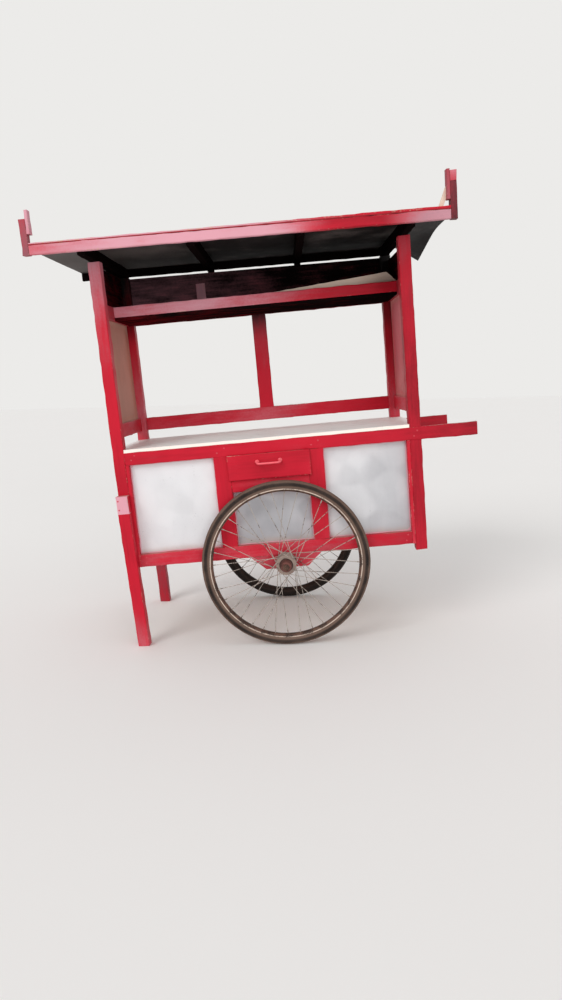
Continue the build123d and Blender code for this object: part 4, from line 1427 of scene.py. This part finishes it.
class CART_OT_stage(bpy.types.Operator):
    """Lays the pale floor, hangs the lights and sets the camera"""

    bl_idname = "cart.stage"
    bl_label = "Floor, lights and camera"

    def execute(self, context):
        stage = context.scene.food_cart.stage
        bpy.ops.object.select_all(action="DESELECT")
        bpy.ops.mesh.primitive_plane_add(size=stage.floor_size, location=(0, 0, 0))
        floor = bpy.context.object
        floor.name = "floor"
        floor.data.materials.append(floor_finish(stage))
        self.light_world(context, stage)
        lamps = (
            # name, place that it shines from, power
            ("key_light", Vector((-3.2, -4.2, 3.6)), stage.key_power),
            ("fill_light", Vector((1.8, -5.2, 0.9)), stage.fill_power),
        )
        for name, place, power in lamps:
            bpy.ops.object.light_add(type="SUN", location=place)
            lamp = bpy.context.object
            lamp.name = name
            lamp.rotation_euler = (-place).to_track_quat("-Z", "Y").to_euler()
            lamp.data.angle, lamp.data.energy = stage.softness, power
        self.place_camera(context, stage)
        context.scene.view_settings.view_transform = "Standard"
        return {"FINISHED"}

    def light_world(self, context, stage):
        """Even light from all round, with the plain background seen directly and in gloss and glass."""
        world = bpy.data.worlds.new("studio")
        world.use_nodes = True
        context.scene.world = world
        tree = world.node_tree
        link = tree.links.new
        light = tree.nodes["Background"]
        light.inputs["Color"].default_value = (1, 1, 1, 1)
        light.inputs["Strength"].default_value = stage.ambient
        seen = tree.nodes.new("ShaderNodeBackground")
        seen.inputs["Color"].default_value = (*stage.backdrop, 1)
        path = tree.nodes.new("ShaderNodeLightPath")
        shown = path.outputs["Is Camera Ray"]
        for kind in ("Is Glossy Ray", "Is Transmission Ray"):
            either = tree.nodes.new("ShaderNodeMath")
            either.operation = "MAXIMUM"
            link(shown, either.inputs[0])
            link(path.outputs[kind], either.inputs[1])
            shown = either.outputs[0]
        blend = tree.nodes.new("ShaderNodeMixShader")
        for number, output in enumerate((shown, light.outputs[0], seen.outputs[0])):
            link(output, blend.inputs[number])
        link(blend.outputs[0], tree.nodes["World Output"].inputs["Surface"])

    def place_camera(self, context, stage):
        """Stands the camera where the photograph was taken from."""
        yaw, pitch, roll = stage.camera_yaw, stage.camera_pitch, stage.camera_roll
        forward = Vector((sin(yaw) * cos(pitch), cos(yaw) * cos(pitch), -sin(pitch)))
        right = Vector((cos(yaw), -sin(yaw), 0.0))
        up = right.cross(forward)
        leaning_right = cos(roll) * right - sin(roll) * up
        leaning_up = sin(roll) * right + cos(roll) * up
        turn = Matrix((leaning_right, leaning_up, -forward)).transposed()
        bpy.ops.object.camera_add()
        camera = bpy.context.object
        camera.matrix_world = Matrix.Translation(stage.camera_place) @ turn.to_4x4()
        camera.data.lens = stage.lens
        camera.data.sensor_width = 36.0
        context.scene.camera = camera


class CART_PT_panel(bpy.types.Panel):
    """The cart's operators and settings in the sidebar"""

    bl_idname = "CART_PT_panel"
    bl_label = "Food cart"
    bl_space_type = "VIEW_3D"
    bl_region_type = "UI"
    bl_category = "Food cart"

    def draw(self, context):
        for operator in operators:
            self.layout.operator(operator.bl_idname)
        cart = context.scene.food_cart
        for group in (cart.paint, cart.wear, cart.wheel, cart.stage):
            box = self.layout.box()
            for name in group.__annotations__:
                box.prop(group, name)


setting_groups = (PaintColours, TimberWear, WheelSizes, StageSettings, CartSettings)
operators = (
    CART_OT_finishes,
    CART_OT_timbers,
    CART_OT_sheets,
    CART_OT_panes,
    CART_OT_roof,
    CART_OT_tyres,
    CART_OT_rims,
    CART_OT_hubs,
    CART_OT_spokes,
    CART_OT_axle,
    CART_OT_pull,
    CART_OT_nails,
    CART_OT_stage,
)
classes = (*setting_groups, *operators, CART_PT_panel)


def register():
    for item in classes:
        bpy.utils.register_class(item)
    bpy.types.Scene.food_cart = PointerProperty(type=CartSettings)


def unregister():
    del bpy.types.Scene.food_cart
    for item in reversed(classes):
        bpy.utils.unregister_class(item)


def main():
    """Makes the whole cart and its stage."""
    register()
    bpy.ops.cart.finishes()
    bpy.ops.cart.timbers()
    bpy.ops.cart.sheets()
    bpy.ops.cart.panes()
    bpy.ops.cart.roof()
    bpy.ops.cart.tyres()
    bpy.ops.cart.rims()
    bpy.ops.cart.hubs()
    bpy.ops.cart.spokes()
    bpy.ops.cart.axle()
    bpy.ops.cart.pull()
    bpy.ops.cart.nails()
    bpy.ops.cart.stage()


if __name__ == "__main__":
    main()
